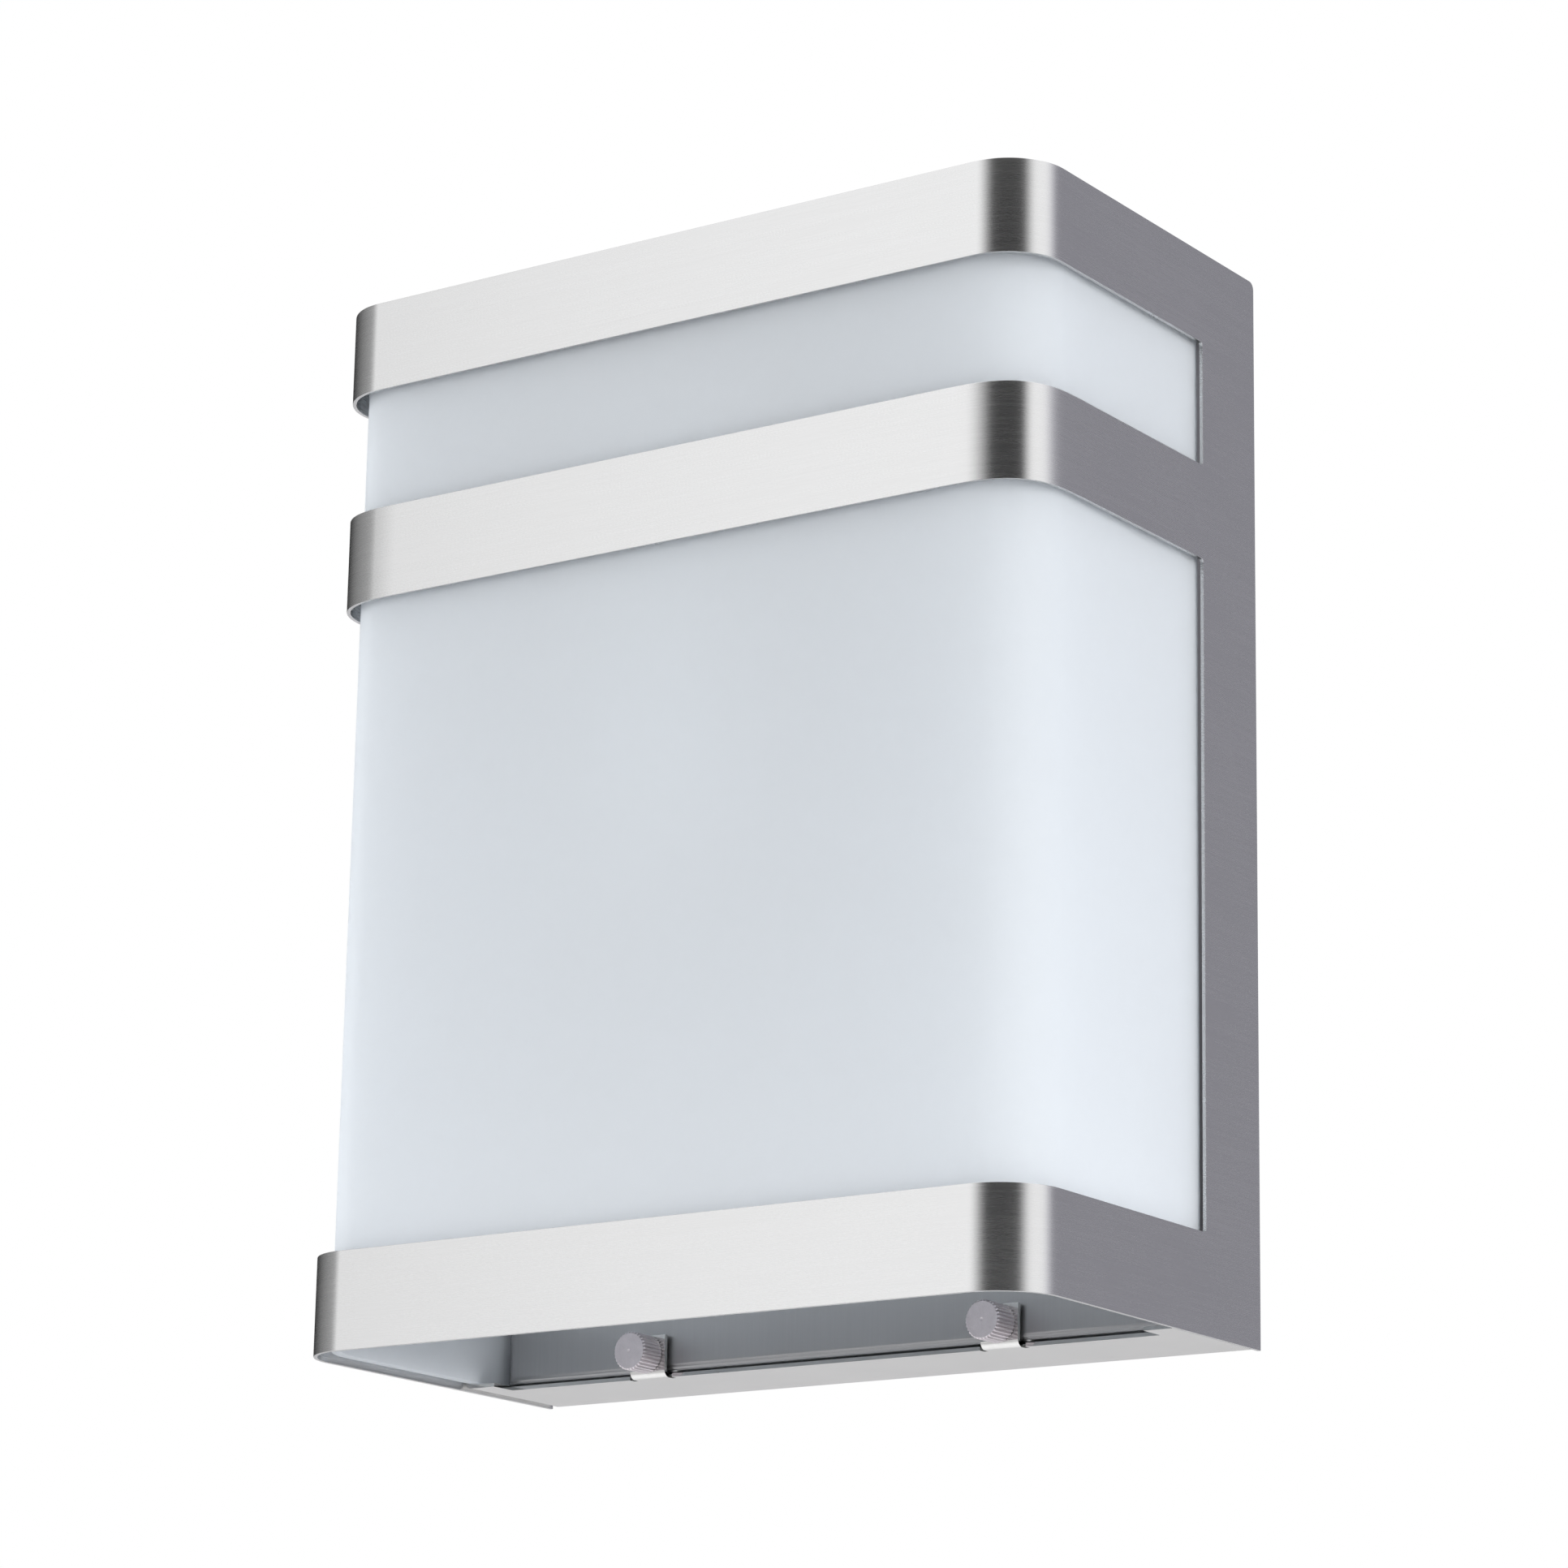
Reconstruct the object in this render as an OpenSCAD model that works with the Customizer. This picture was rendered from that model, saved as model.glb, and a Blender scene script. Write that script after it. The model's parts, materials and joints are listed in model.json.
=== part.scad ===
// Outdoor wall lantern. A stainless steel shade with an opal diffuser slides over a back pan
// on the wall, hangs on two tongues and is held by two thumbscrews under its open bottom.
// +X is right, +Y goes into the wall, +Z is up. The origin is the centre of the outlet box,
// on the wall. Heights are counted from the shade's bottom edge, and depths from the wall.

/* [Shade] */
// Width of the shade, across its side walls
shade_w = 220; // [210:1:260]
// Height of the shade
shade_h = 280; // [270:1:340]
// Depth of the shade, from the wall to its front
shade_d = 110; // [107:1:130]
// Thickness of the shade's steel sheet
sheet_t = 1; // [0.8:0.1:1.3]
// Outer radius of the shade's two front corners
corner_r = 16; // [10:0.5:18]
// Width of the side strips behind the windows
side_strip_w = 26.5; // [24:0.5:32]
// Radius of the windows' rear corners
window_r = 1; // [0.5:0.5:3]
// Height of the top band
top_band_h = 24.5; // [20:0.5:40]
// Height of the upper window
upper_window_h = 33; // [25:0.5:50]
// Height of the middle band
mid_band_h = 25; // [18:1:40]
// Height of the bottom band
bottom_band_h = 25.5; // [24:0.5:40]
// Outer radius of the top plate's bend along the wall
rear_bend_r = 2; // [1.6:0.1:3]
// Height of the top plate's lip along the wall
top_lip_h = 9; // [6:1:12]

/* [Diffuser] */
// Thickness of the opal sheet
diffuser_t = 3; // [2:0.5:3.5]
// Gap between the shade's sheet and the diffuser
diffuser_gap = 1.5; // [1.5:0.1:2.5]
// How far the diffuser reaches behind the windows' rear edges
diffuser_overlap = 1.4; // [-3:0.1:2]
// Gap above the diffuser, under the top plate
diffuser_top_gap = 1.5; // [1:0.5:3]
// Side of the square pads between the diffuser and the bands
pad_w = 10; // [6:1:14]
// Distance between the two pads on the front of a band
pad_spacing = 140; // [100:5:160]
// Width of the clips behind the diffuser's rear edges
clip_w = 10; // [8:1:14]
// Thickness of the clips
clip_t = 0.8; // [0.6:0.1:1]

/* [Bottom flange] */
// Height of the flange's underside above the shade's bottom edge
flange_lift = 0.5; // [0:0.1:1.5]
// Outer radius of the bends in the flange and the hanger
flange_bend_r = 2; // [1.6:0.1:2.5]
// Height of the flange's ears on the side walls
ear_h = 10; // [6:0.5:11]
// How far the flange reaches in front of the back pan
flange_reach = 0.5; // [0.3:0.1:1]
// Width of the lugs under the diffuser's ends
lug_w = 9.7; // [7:0.1:12]
// How far the lugs reach in front of the flange
lug_reach = 8; // [5:0.5:12]
// Width of the two upright tabs
tab_w = 11; // [10:0.5:14]
// Height of the tabs' upper edges
tab_h = 11.5; // [10:0.5:15]
// Distance between the two tabs, and between the two thumbscrews
tab_spacing = 108; // [90:1:120]
// Width of the notches beside each tab
notch_w = 1.2; // [0.8:0.1:2]
// Depth of the notches behind the flange's front edge
notch_d = 2; // [1:0.5:3]

/* [Thumbscrews] */
// Diameter of the knurled knobs
knob_d = 10; // [8:0.5:12]
// Length of the knobs
knob_l = 8; // [6:0.5:12]
// Number of grooves around a knob
knurl_count = 32; // [24:1:40]
// Width of a groove
knurl_w = 0.7; // [0.4:0.1:0.8]
// Bevel along a knob's edges
knob_bevel = 0.4; // [0.2:0.1:0.8]
// Height of the thumbscrews' centres
knob_z = 6.5; // [6.3:0.1:8]
// Diameter of the threaded studs
stud_d = 4; // [3:0.5:4]
// Pitch of the studs' thread
stud_pitch = 0.7; // [0.5:0.1:0.8]
// How far the studs reach behind the pan's front
stud_reach = 8; // [5:0.5:9]
// Thickness of the rivet nuts' rims
rivet_rim_t = 1; // [0.6:0.1:1.5]
// Length of the rivet nuts behind the pan's front
rivet_nut_l = 9; // [7:0.5:10]

/* [Back pan] */
// Depth of the pan, from the wall to its front
pan_depth = 30; // [26:1:34]
// Thickness of the pan's sheet
pan_t = 1; // [0.8:0.1:1.3]
// Outer radius of the pan's bends
pan_bend_r = 2.5; // [2:0.1:3.5]
// Gap between the pan's sides and the diffuser's inner faces
pan_side_gap = 2.5; // [1.5:0.5:6]
// Gap between the pan and the flange below it
pan_floor_gap = 0.3; // [0.2:0.1:1]
// Gap between the top lip and the pan
pan_top_gap = 3; // [2:0.5:6]
// Width of the rims along the wall
pan_rim_w = 8; // [6:0.5:12]
// How far the pan's floor reaches behind its front
pan_floor_reach = 12; // [8:1:16]
// Distance from the pan's corners to its seal and to the cut in its floor
pan_corner_w = 4; // [3:0.5:6]
// Thickness of the foam seal on the wall
seal_t = 2; // [1.5:0.5:3]

/* [Hanger] */
// Width of the two tongues that carry the shade
tongue_w = 12; // [8:1:16]
// How far the tongues stand in front of the pan
tongue_l = 8; // [6:0.5:9]
// Distance from the pan's top down to the tongues
tongue_drop = 12; // [11:0.5:16]
// Width of the hanger's arms
arm_w = 20; // [18:1:26]
// Length of the hanger's rail under the top plate
rail_d = 18; // [12:1:30]
// Play around a tongue in its slot
slot_play = 0.3; // [0.2:0.1:0.6]

/* [Lamp] */
// Length of the lamp
lamp_l = 110; // [100:1:120]
// Diameter of the lamp's screw base, over its thread
base_d = 26.4; // [26:0.1:26.6]
// Pitch of the lamp's thread
base_pitch = 3.629; // [3.5:0.001:3.8]
// Length of the lamp's screw base with its insulator
base_l = 25; // [22:0.5:27]
// Wall of the lamp's globe and collar
lamp_wall = 1.5; // [1:0.1:2]
// Gap between the lamp and the pan
lamp_gap = 7.5; // [5:0.5:9]
// Gap between the lamp and the diffuser
lamp_front_gap = 7; // [5:0.5:9]

/* [Lamp holder] */
// Diameter of the porcelain holder
holder_d = 38; // [38:0.5:42]
// Height of the porcelain holder
holder_h = 39; // [37:0.5:42]
// Wall of the screw shell in the holder
screw_shell_t = 0.5; // [0.4:0.1:0.7]
// Height of the terminal pocket in the holder's top
pocket_h = 6; // [5:0.5:7]
// Thickness of the holder's floor over the lamp
holder_floor_t = 5; // [4:0.5:6]
// Distance from the pan's top down to the holder's bracket
bracket_drop = 27; // [24:1:34]
// Width of the bracket
bracket_w = 36; // [34:1:44]
// Thickness of the bracket
bracket_t = 1.5; // [1.2:0.1:2]
// Height of the bracket's leg on the pan
bracket_leg = 36; // [30:1:44]
// Outer radius of the bracket's bend
bracket_bend_r = 3; // [2.5:0.1:4]

/* [Outlet box] */
// Height of the outlet box's centre over the shade's bottom edge
outlet_z = 140; // [120:1:145]
// Distance between the box's two screws
box_spacing = 88.9; // [84:0.1:96]
// Length of the crossbar's slots
box_slot_l = 14; // [8:0.5:15]
// Width of the crossbar's slots
box_slot_w = 4.8; // [4.2:0.1:5.5]
// Width of the crossbar
crossbar_w = 24; // [20:1:30]
// Thickness of the crossbar
crossbar_t = 1.6; // [1.2:0.1:2]
// How far the crossbar's middle stands off the wall
crossbar_offset = 3; // [2.8:0.1:4]
// Diameter of the hole for the supply cable
cable_hole_d = 13; // [8:0.5:14]
// Distance between the two screws that hold the pan
fixture_spacing = 46; // [40:1:48]

/* [Wiring] */
// Diameter of the leads
lead_d = 2.6; // [2:0.1:2.8]
// Distance between the two lamp leads at the grommet
lead_spacing = 8; // [7:0.5:9]
// Bore of the grommet
grommet_bore = 11.2; // [11.2:0.1:12.5]
// Width of the terminal block
block_w = 32; // [30:1:38]
// Height of the terminal block
block_h = 18; // [16:1:22]
// Depth of the terminal block
block_d = 12; // [10:0.5:13]
// Distance from the bracket's top down to the terminal block
block_drop = 37; // [34:1:42]
// Distance from the lantern's middle to the earth screw
earth_x = 32; // [28:1:40]

/* [Hidden] */
$fn = 48;

// Clearances
seat_gap = 0.2;      // between faces that a screw draws together
weld_gap = 0.05;     // between pieces that are welded, glued or pressed together
run_gap = 0.05;      // around a shaft that turns or slides in its hole
thread_gap = 0.05;   // between a screw and the thread that it is in
hole_gap = 0.3;      // around a screw in a plain hole
past = 1;            // how far a cutting tool runs past a face

// Shade
shell_half = shade_w / 2 - sheet_t;
shell_front = shade_d - sheet_t;
lower_window_z = bottom_band_h;
lower_window_h = shade_h - top_band_h - upper_window_h - mid_band_h - bottom_band_h;
upper_window_z = shade_h - top_band_h - upper_window_h;
mid_band_z = lower_window_z + lower_window_h + mid_band_h / 2;
top_band_z = shade_h - top_band_h / 2;
plate_z = shade_h - sheet_t;

// Diffuser
diffuser_half = shell_half - diffuser_gap;
diffuser_front = shell_front - diffuser_gap;
diffuser_r = corner_r - sheet_t - diffuser_gap;
diffuser_rear = side_strip_w - diffuser_overlap;
flange_top = flange_lift + sheet_t;
diffuser_z = flange_top + seat_gap;
diffuser_h = plate_z - diffuser_top_gap - diffuser_z;
clip_leg_y = diffuser_rear - seat_gap;
clip_reach = diffuser_gap + diffuser_t - seat_gap;
clip_zs = [bottom_band_h - clip_w / 2 - 1, mid_band_z, top_band_z];
clip_stud_y = side_strip_w / 2;
clip_stud_r = 1.5;
clip_stud_l = 4.4;
clip_nut_t = 2.4;
clip_nut_r = 3.1;

// Back pan
pan_half = diffuser_half - diffuser_t - pan_side_gap;
pan_z = flange_top + pan_floor_gap;
pan_top = shade_h - top_lip_h - pan_top_gap;
pan_mid_z = (pan_z + pan_top) / 2;
pan_half_h = (pan_top - pan_z) / 2;

// Tabs, thumbscrews and rivet nuts
tab_rear = pan_depth + rivet_rim_t + seat_gap;
tab_front = tab_rear + sheet_t;
flange_front = pan_depth + flange_reach;
knob_rear = tab_front + seat_gap;
knob_front = knob_rear + knob_l;
stud_r = stud_d / 2;
stud_tip = pan_depth - stud_reach;
stud_end = knob_rear + knob_l - 2;
thread_depth = 0.3;
rivet_r = stud_r + 0.6;
rivet_rim_r = stud_r + 1.6;

// Crossbar and the screws that hold the pan
raise_margin = 6;
raise_half = fixture_spacing / 2 + raise_margin;
jog_w = 3;
crossbar_end = 4;
crossbar_half = (box_spacing + box_slot_l) / 2 + crossbar_end;
fixture_r = 2;
fixture_head_r = 3.9;
fixture_head_t = 2.3;
fixture_reach = 6;
fixture_tip = pan_depth + fixture_reach;
nut_t = 3.2;
nut_r = 4.04;
washer_t = 1.2;
washer_r = 5;
cap_nut_l = 8;

// Hanger
tongue_z = pan_top - tongue_drop;
tongue_root = pan_depth - pan_t;
lance_h = tongue_l - 0.5;
arm_below = 6;
arm_bottom = tongue_z - arm_below;
rail_z = plate_z - weld_gap - sheet_t;

// Lamp and its holder
lamp_d = diffuser_front - diffuser_t - lamp_front_gap - pan_depth - lamp_gap;
lamp_y = pan_depth + lamp_gap + lamp_d / 2;
bracket_top = pan_top - bracket_drop;
holder_top = bracket_top - bracket_t;
floor_top = holder_top - pocket_h;
floor_bottom = floor_top - holder_floor_t;
holder_bottom = holder_top - holder_h;
base_r = base_d / 2;
screw_shell_r = base_r + run_gap;
cavity_r = screw_shell_r + screw_shell_t + weld_gap;
contact_t = 0.8;
contact_w = 5;
contact_drop = 0.8;
lamp_top = floor_bottom - contact_t - contact_drop - seat_gap;
tip_h = 1.2;
tip_r = 4.5;
insulator_h = 4.5;
insulator_r = base_r - 1.6;
thread_top = lamp_top - tip_h - insulator_h;
base_bottom = lamp_top - base_l;
thread_ridge = 0.8;
lamp_r = lamp_d / 2;
dome_z = lamp_top - lamp_l + lamp_r;
dome_to_collar = 22;
collar_end_r = lamp_r - 3;
collar_bottom = dome_z + dome_to_collar;
neck_l = 6;
neck_r = base_r + 2.5;
neck_end_r = base_r - thread_ridge;
terminal_x = 8;
terminal_r = 1.5;
holder_screw_y = 15.5;
lead_hole_r = 9;
pocket_r = lead_hole_r + 2.5;
holder_screw_r = 1.75;
holder_screw_l = 8;
rivet_x = 12;
bracket_rivet_r = 1.6;
rivet_drop = 20;
bracket_rivet_z = bracket_top - rivet_drop;
bracket_end = lamp_y + holder_d / 2;
led_board_t = 1.6;
led_margin = 4;

// Wiring
lead_r = lead_d / 2;
lead_x = lead_spacing / 2;
grommet_r = grommet_bore / 2;
grommet_wall = 1;
grommet_rise = 8;
grommet_z = bracket_top + grommet_rise;
block_top = bracket_top - block_drop;
block_rear = pan_depth - pan_t - block_d;
block_y = pan_depth - pan_t - block_d / 2;
pole_x = block_w / 3;
pole_d = 6;
lead_in = 4;
lead_straight = 8;
lead_droop = 9;
earth_lead_straight = 6;
earth_lead_lean = 4;
earth_lead_rise = 13;
earth_lead_top = 16;
terminal_screw_r = 1.9;
drive_l = 5;
drive_d = 2.8;
drive_w = 0.6;
block_screw_r = 1.5;
block_screw_l = 6;
earth_z = block_top - block_h / 2;
ring_t = 0.8;
ring_r = 4.5;
earth_screw_r = 2;
barrel_y = pan_depth - pan_t - 2.1;
barrel_z = earth_z + ring_r;
barrel_l = 6;

// Routes of the leads through the air, from the holder's pocket to the terminal block
function lamp_lead(start_x, end_x) = [
    [start_x, -lamp_y, floor_top + 1.3],
    [start_x * 0.9, -lamp_y, bracket_top - 1],
    [(start_x + sign(start_x) * lead_x) / 2, -lamp_y + 3, grommet_z - 3],
    [sign(start_x) * lead_x, -lamp_y + lead_droop, grommet_z],
    [sign(start_x) * lead_x, -pan_depth - lead_straight, grommet_z],
    [sign(start_x) * lead_x, -pan_depth, grommet_z],
    [sign(start_x) * lead_x, -block_y - 2, grommet_z - 2],
    [(sign(start_x) * lead_x + end_x) / 2, -block_y, grommet_z - lead_droop],
    [end_x, -block_y, block_top + lead_droop],
    [end_x, -block_y, block_top - lead_in]
];
function earth_route() = [
    [pole_x, -block_y, block_top - lead_in],
    [pole_x, -block_y, block_top + earth_lead_straight],
    [pole_x + earth_lead_lean, -block_y, block_top + earth_lead_rise],
    [(pole_x + earth_x) / 2, -(block_y + barrel_y) / 2, block_top + earth_lead_top],
    [earth_x - earth_lead_lean, -barrel_y, block_top + earth_lead_rise],
    [earth_x, -barrel_y, block_top + earth_lead_straight],
    [earth_x, -barrel_y, barrel_z + barrel_l + 1],
    [earth_x, -barrel_y, barrel_z + 1]
];

// ---------- helpers ----------

// Counts heights from the shade's bottom edge
module from_bottom() {
    translate([0, 0, -outlet_z]) children();
}

// Makes a piece and its mirror image on the other side
module both_sides() {
    children();
    mirror([1, 0, 0]) children();
}

// Outline from above of a box on the wall, with its two front corners rounded
module rounded_front(half, depth, r, back = 0) {
    translate([-half, r - depth]) square([2 * half, depth - r + back]);
    translate([r - half, -depth]) square([2 * (half - r), 2 * r]);
    translate([r - half, r - depth]) circle(r);
    translate([half - r, r - depth]) circle(r);
}

// Quarter ring around the point where a sheet is bent, towards +X and +Y
module bend(r, t) {
    intersection() {
        difference() {
            circle(r);
            circle(r - t);
        }
        square(r + past);
    }
}

// Extrudes an outline in depth and height along the width, centred
module along_width(w) {
    translate([-w / 2, 0, 0]) rotate([90, 0, 90]) linear_extrude(w) children();
}

// Extrudes an outline in width and height from the depth y0 towards the front
module towards_front(y0, l) {
    translate([0, -y0, 0]) rotate([90, 0, 0]) linear_extrude(l) children();
}

// Rod with its axis from the depth y0 towards the front
module front_rod(y0, l, r) {
    translate([0, -y0, 0]) rotate([90, 0, 0]) cylinder(h = l, r = r);
}

// Turned piece with its axis from the depth y0 towards the front
module front_turned(y0) {
    translate([0, -y0, 0]) rotate([90, 0, 0]) rotate_extrude() children();
}

// Slot with round ends, by its whole length
module slot_outline(l, w) {
    square([l - w, w], center = true);
    translate([(l - w) / 2, 0]) circle(w / 2);
    translate([(w - l) / 2, 0]) circle(w / 2);
}

// Block with its front edges rounded, smaller than the pan by t all round
module pan_block(t) {
    intersection() {
        translate([0, 0, pan_z]) linear_extrude(2 * pan_half_h)
            rounded_front(pan_half - t, pan_depth - t, pan_bend_r - t, t);
        along_width(2 * pan_half) translate([0, pan_mid_z]) rotate(-90)
            rounded_front(pan_half_h - t, pan_depth - t, pan_bend_r - t, t);
    }
}

// Smooth curve through the points p, in n steps from each point to the next
function on_curve(a, b, c, d, t) =
    b + (c - a) * t / 2 + (2 * a - 5 * b + 4 * c - d) * t * t / 2
    + (3 * b - a - 3 * c + d) * t * t * t / 2;
function smooth(p, n) = [
    for (i = [0 : len(p) - 2], k = [0 : n - 1])
        on_curve(p[max(i - 1, 0)], p[i], p[i + 1], p[min(i + 2, len(p) - 1)], k / n),
    p[len(p) - 1]
];
function unit(v) = v / norm(v);
function along(p, i) = unit(p[min(i + 1, len(p) - 1)] - p[max(i - 1, 0)]);
function beside(p, i) = i == 0
    ? unit(cross(along(p, 0), [0.3, 0.5, 0.8]))
    : let (s = beside(p, i - 1), t = along(p, i)) unit(s - t * (s * t));

// Round lead along the points of a route
module lead(route) {
    sides = 8;
    p = smooth(route, 4);
    rings = len(p);
    points = [
        for (i = [0 : rings - 1])
            let (t = along(p, i), s = beside(p, i), u = cross(t, s))
                for (a = [0 : sides - 1])
                    p[i] + lead_r * (cos(a * 360 / sides) * s + sin(a * 360 / sides) * u)
    ];
    walls = [
        for (i = [0 : rings - 2], a = [0 : sides - 1])
            let (b = (a + 1) % sides, lo = i * sides, hi = lo + sides)
                each [[lo + a, hi + a, hi + b], [lo + a, hi + b, lo + b]]
    ];
    near_cap = [for (a = [0 : sides - 1]) a];
    far_cap = [for (a = [0 : sides - 1]) rings * sides - 1 - a];
    polyhedron(points, concat(walls, [near_cap, far_cap]));
}

// ---------- back pan and what hangs it on the wall ----------

module mounting_pan() {
    color("slategray") from_bottom() difference() {
        union() {
            difference() {
                pan_block(0);
                pan_block(pan_t);
                translate([-pan_half - past, -seal_t, pan_z - past])
                    cube([2 * (pan_half + past), seal_t + past, 2 * (pan_half_h + past)]);
                translate([pan_corner_w - pan_half, pan_floor_reach - pan_depth, pan_z - past])
                    cube([2 * (pan_half - pan_corner_w), pan_depth, pan_t + 2 * past]);
            }
            difference() {
                translate([-pan_half, -seal_t - pan_t, pan_z]) cube([2 * pan_half, pan_t, 2 * pan_half_h]);
                translate([pan_rim_w - pan_half, -seal_t - 2 * pan_t, pan_z - past])
                    cube([2 * (pan_half - pan_rim_w), 3 * pan_t, pan_top - pan_rim_w - pan_z + past]);
            }
            both_sides() translate([(tab_spacing - tongue_w) / 2, -pan_depth - tongue_l, tongue_z - pan_t])
                cube([tongue_w, tongue_l + pan_depth - tongue_root, pan_t]);
        }
        both_sides() translate([(tab_spacing - tongue_w) / 2, -pan_depth - past, tongue_z])
            cube([tongue_w, pan_t + 2 * past, lance_h]);
        both_sides() translate([tab_spacing / 2, 0, knob_z])
            front_rod(pan_depth - 2 * pan_t, 3 * pan_t, rivet_r + weld_gap);
        both_sides() translate([fixture_spacing / 2, 0, outlet_z])
            front_rod(pan_depth - 2 * pan_t, 3 * pan_t, fixture_r + hole_gap);
        both_sides() translate([rivet_x, 0, bracket_rivet_z])
            front_rod(pan_depth - 2 * pan_t, 3 * pan_t, bracket_rivet_r + weld_gap);
        both_sides() translate([pole_x / 2, 0, earth_z])
            front_rod(pan_depth - 2 * pan_t, 3 * pan_t, block_screw_r + hole_gap);
        translate([0, 0, grommet_z])
            front_rod(pan_depth - 2 * pan_t, 3 * pan_t, grommet_r + grommet_wall + weld_gap);
        translate([earth_x, 0, earth_z])
            front_rod(pan_depth - 2 * pan_t, 3 * pan_t, earth_screw_r + thread_gap);
    }
}

module wall_seal() {
    color("dimgray") from_bottom() {
        both_sides() translate([pan_half - pan_rim_w, -seal_t, pan_z + pan_corner_w])
            cube([pan_rim_w, seal_t, pan_top - pan_corner_w - pan_z - pan_corner_w]);
        translate([pan_rim_w - pan_half, -seal_t, pan_top - pan_rim_w])
            cube([2 * (pan_half - pan_rim_w), seal_t, pan_rim_w]);
    }
}

module crossbar() {
    color("gainsboro") difference() {
        translate([0, 0, -crossbar_w / 2]) linear_extrude(crossbar_w) polygon([
            [-crossbar_half, 0],
            [-crossbar_half, -crossbar_t],
            [-raise_half - jog_w, -crossbar_t],
            [-raise_half, -crossbar_t - crossbar_offset],
            [raise_half, -crossbar_t - crossbar_offset],
            [raise_half + jog_w, -crossbar_t],
            [crossbar_half, -crossbar_t],
            [crossbar_half, 0],
            [raise_half + jog_w - crossbar_t / 2, 0],
            [raise_half - crossbar_t / 2, -crossbar_offset],
            [crossbar_t / 2 - raise_half, -crossbar_offset],
            [crossbar_t / 2 - raise_half - jog_w, 0]
        ]);
        both_sides() translate([box_spacing / 2, 0, 0])
            towards_front(-past, crossbar_t + 2 * past) slot_outline(box_slot_l, box_slot_w);
        front_rod(0, crossbar_t + crossbar_offset + past, cable_hole_d / 2);
        both_sides() translate([fixture_spacing / 2, 0, 0])
            front_rod(0, crossbar_t + crossbar_offset + past, fixture_r + thread_gap);
    }
}

module fixture_screws() {
    color("silver") both_sides() translate([fixture_spacing / 2, 0, 0]) {
        front_turned(crossbar_offset - fixture_head_t) polygon([
            [0, 0],
            [fixture_head_r - 0.8, 0],
            [fixture_head_r, 0.8],
            [fixture_head_r, fixture_head_t],
            [fixture_r, fixture_head_t],
            [fixture_r, fixture_tip - crossbar_offset + fixture_head_t - 0.5],
            [fixture_r - 0.5, fixture_tip - crossbar_offset + fixture_head_t],
            [0, fixture_tip - crossbar_offset + fixture_head_t]
        ]);
    }
}

module lock_nuts() {
    color("silver") both_sides() translate([fixture_spacing / 2, 0, 0])
        towards_front(crossbar_t + crossbar_offset, nut_t) difference() {
            circle(nut_r, $fn = 6);
            circle(fixture_r + thread_gap);
        }
}

module sealing_washers() {
    color("black") both_sides() translate([fixture_spacing / 2, 0, 0])
        towards_front(pan_depth, washer_t) difference() {
            circle(washer_r);
            circle(fixture_r + run_gap);
        }
}

module cap_nuts() {
    color("silver") both_sides() translate([fixture_spacing / 2, 0, 0]) difference() {
        union() {
            towards_front(pan_depth + washer_t, nut_t) circle(nut_r, $fn = 6);
            front_turned(pan_depth + washer_t + nut_t) intersection() {
                circle(cap_nut_l - nut_t);
                square([nut_r - 0.6, cap_nut_l]);
            }
        }
        front_rod(pan_depth, fixture_tip - pan_depth + 0.4, fixture_r + thread_gap);
    }
}

// ---------- thumbscrews and the nuts that they turn in ----------

module rivet_nuts() {
    color("goldenrod") from_bottom() both_sides() translate([tab_spacing / 2, 0, knob_z])
        front_turned(pan_depth - rivet_nut_l) polygon([
            [stud_r + run_gap, 0],
            [rivet_r, 0],
            [rivet_r, rivet_nut_l - pan_t - 3],
            [rivet_r + 0.4, rivet_nut_l - pan_t - 1.8],
            [rivet_r + 0.2, rivet_nut_l - pan_t - weld_gap],
            [rivet_r, rivet_nut_l - pan_t - weld_gap],
            [rivet_r, rivet_nut_l],
            [rivet_rim_r, rivet_nut_l],
            [rivet_rim_r, rivet_nut_l + rivet_rim_t - 0.2],
            [rivet_rim_r - 0.2, rivet_nut_l + rivet_rim_t],
            [stud_r + run_gap, rivet_nut_l + rivet_rim_t]
        ]);
}

// Threaded stud with its head end inside the knob
module stud(x) {
    threads = floor((knob_rear - stud_tip - 1) / stud_pitch);
    color("silver") from_bottom() translate([x, 0, knob_z]) front_turned(stud_tip) polygon([
        [0, 0],
        [stud_r - thread_depth - 0.2, 0],
        for (i = [0 : threads - 1]) each [
            [stud_r - thread_depth, 0.2 + i * stud_pitch],
            [stud_r, 0.2 + (i + 0.35) * stud_pitch],
            [stud_r, 0.2 + (i + 0.65) * stud_pitch]
        ],
        [stud_r - thread_depth, 0.2 + threads * stud_pitch],
        [stud_r, knob_rear - stud_tip],
        [stud_r, stud_end - stud_tip],
        [0, stud_end - stud_tip]
    ]);
}

// Knurled knob around the end of a stud
module knob(x) {
    color("rosybrown") from_bottom() translate([x, 0, knob_z]) difference() {
        intersection() {
            towards_front(knob_rear, knob_l) difference() {
                circle(knob_d / 2);
                for (i = [0 : knurl_count - 1])
                    rotate(i * 360 / knurl_count) translate([knob_d / 2, 0]) rotate(45)
                        square(knurl_w / sqrt(2), center = true);
            }
            front_turned(knob_rear) polygon([
                [0, 0],
                [knob_d / 2 - knob_bevel, 0],
                [knob_d / 2 + past, knob_bevel + past],
                [knob_d / 2 + past, knob_l - knob_bevel - past],
                [knob_d / 2 - knob_bevel, knob_l],
                [0, knob_l]
            ]);
        }
        front_rod(knob_rear - past, stud_end - knob_rear + past + run_gap, stud_r + run_gap);
        front_turned(knob_front - 0.3) polygon([[0, 0], [0.5, 0.3], [0.5, 0.6], [0, 0.6]]);
    }
}

module left_stud() { stud(-tab_spacing / 2); }
module left_knob() { knob(-tab_spacing / 2); }
module right_stud() { stud(tab_spacing / 2); }
module right_knob() { knob(tab_spacing / 2); }

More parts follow.
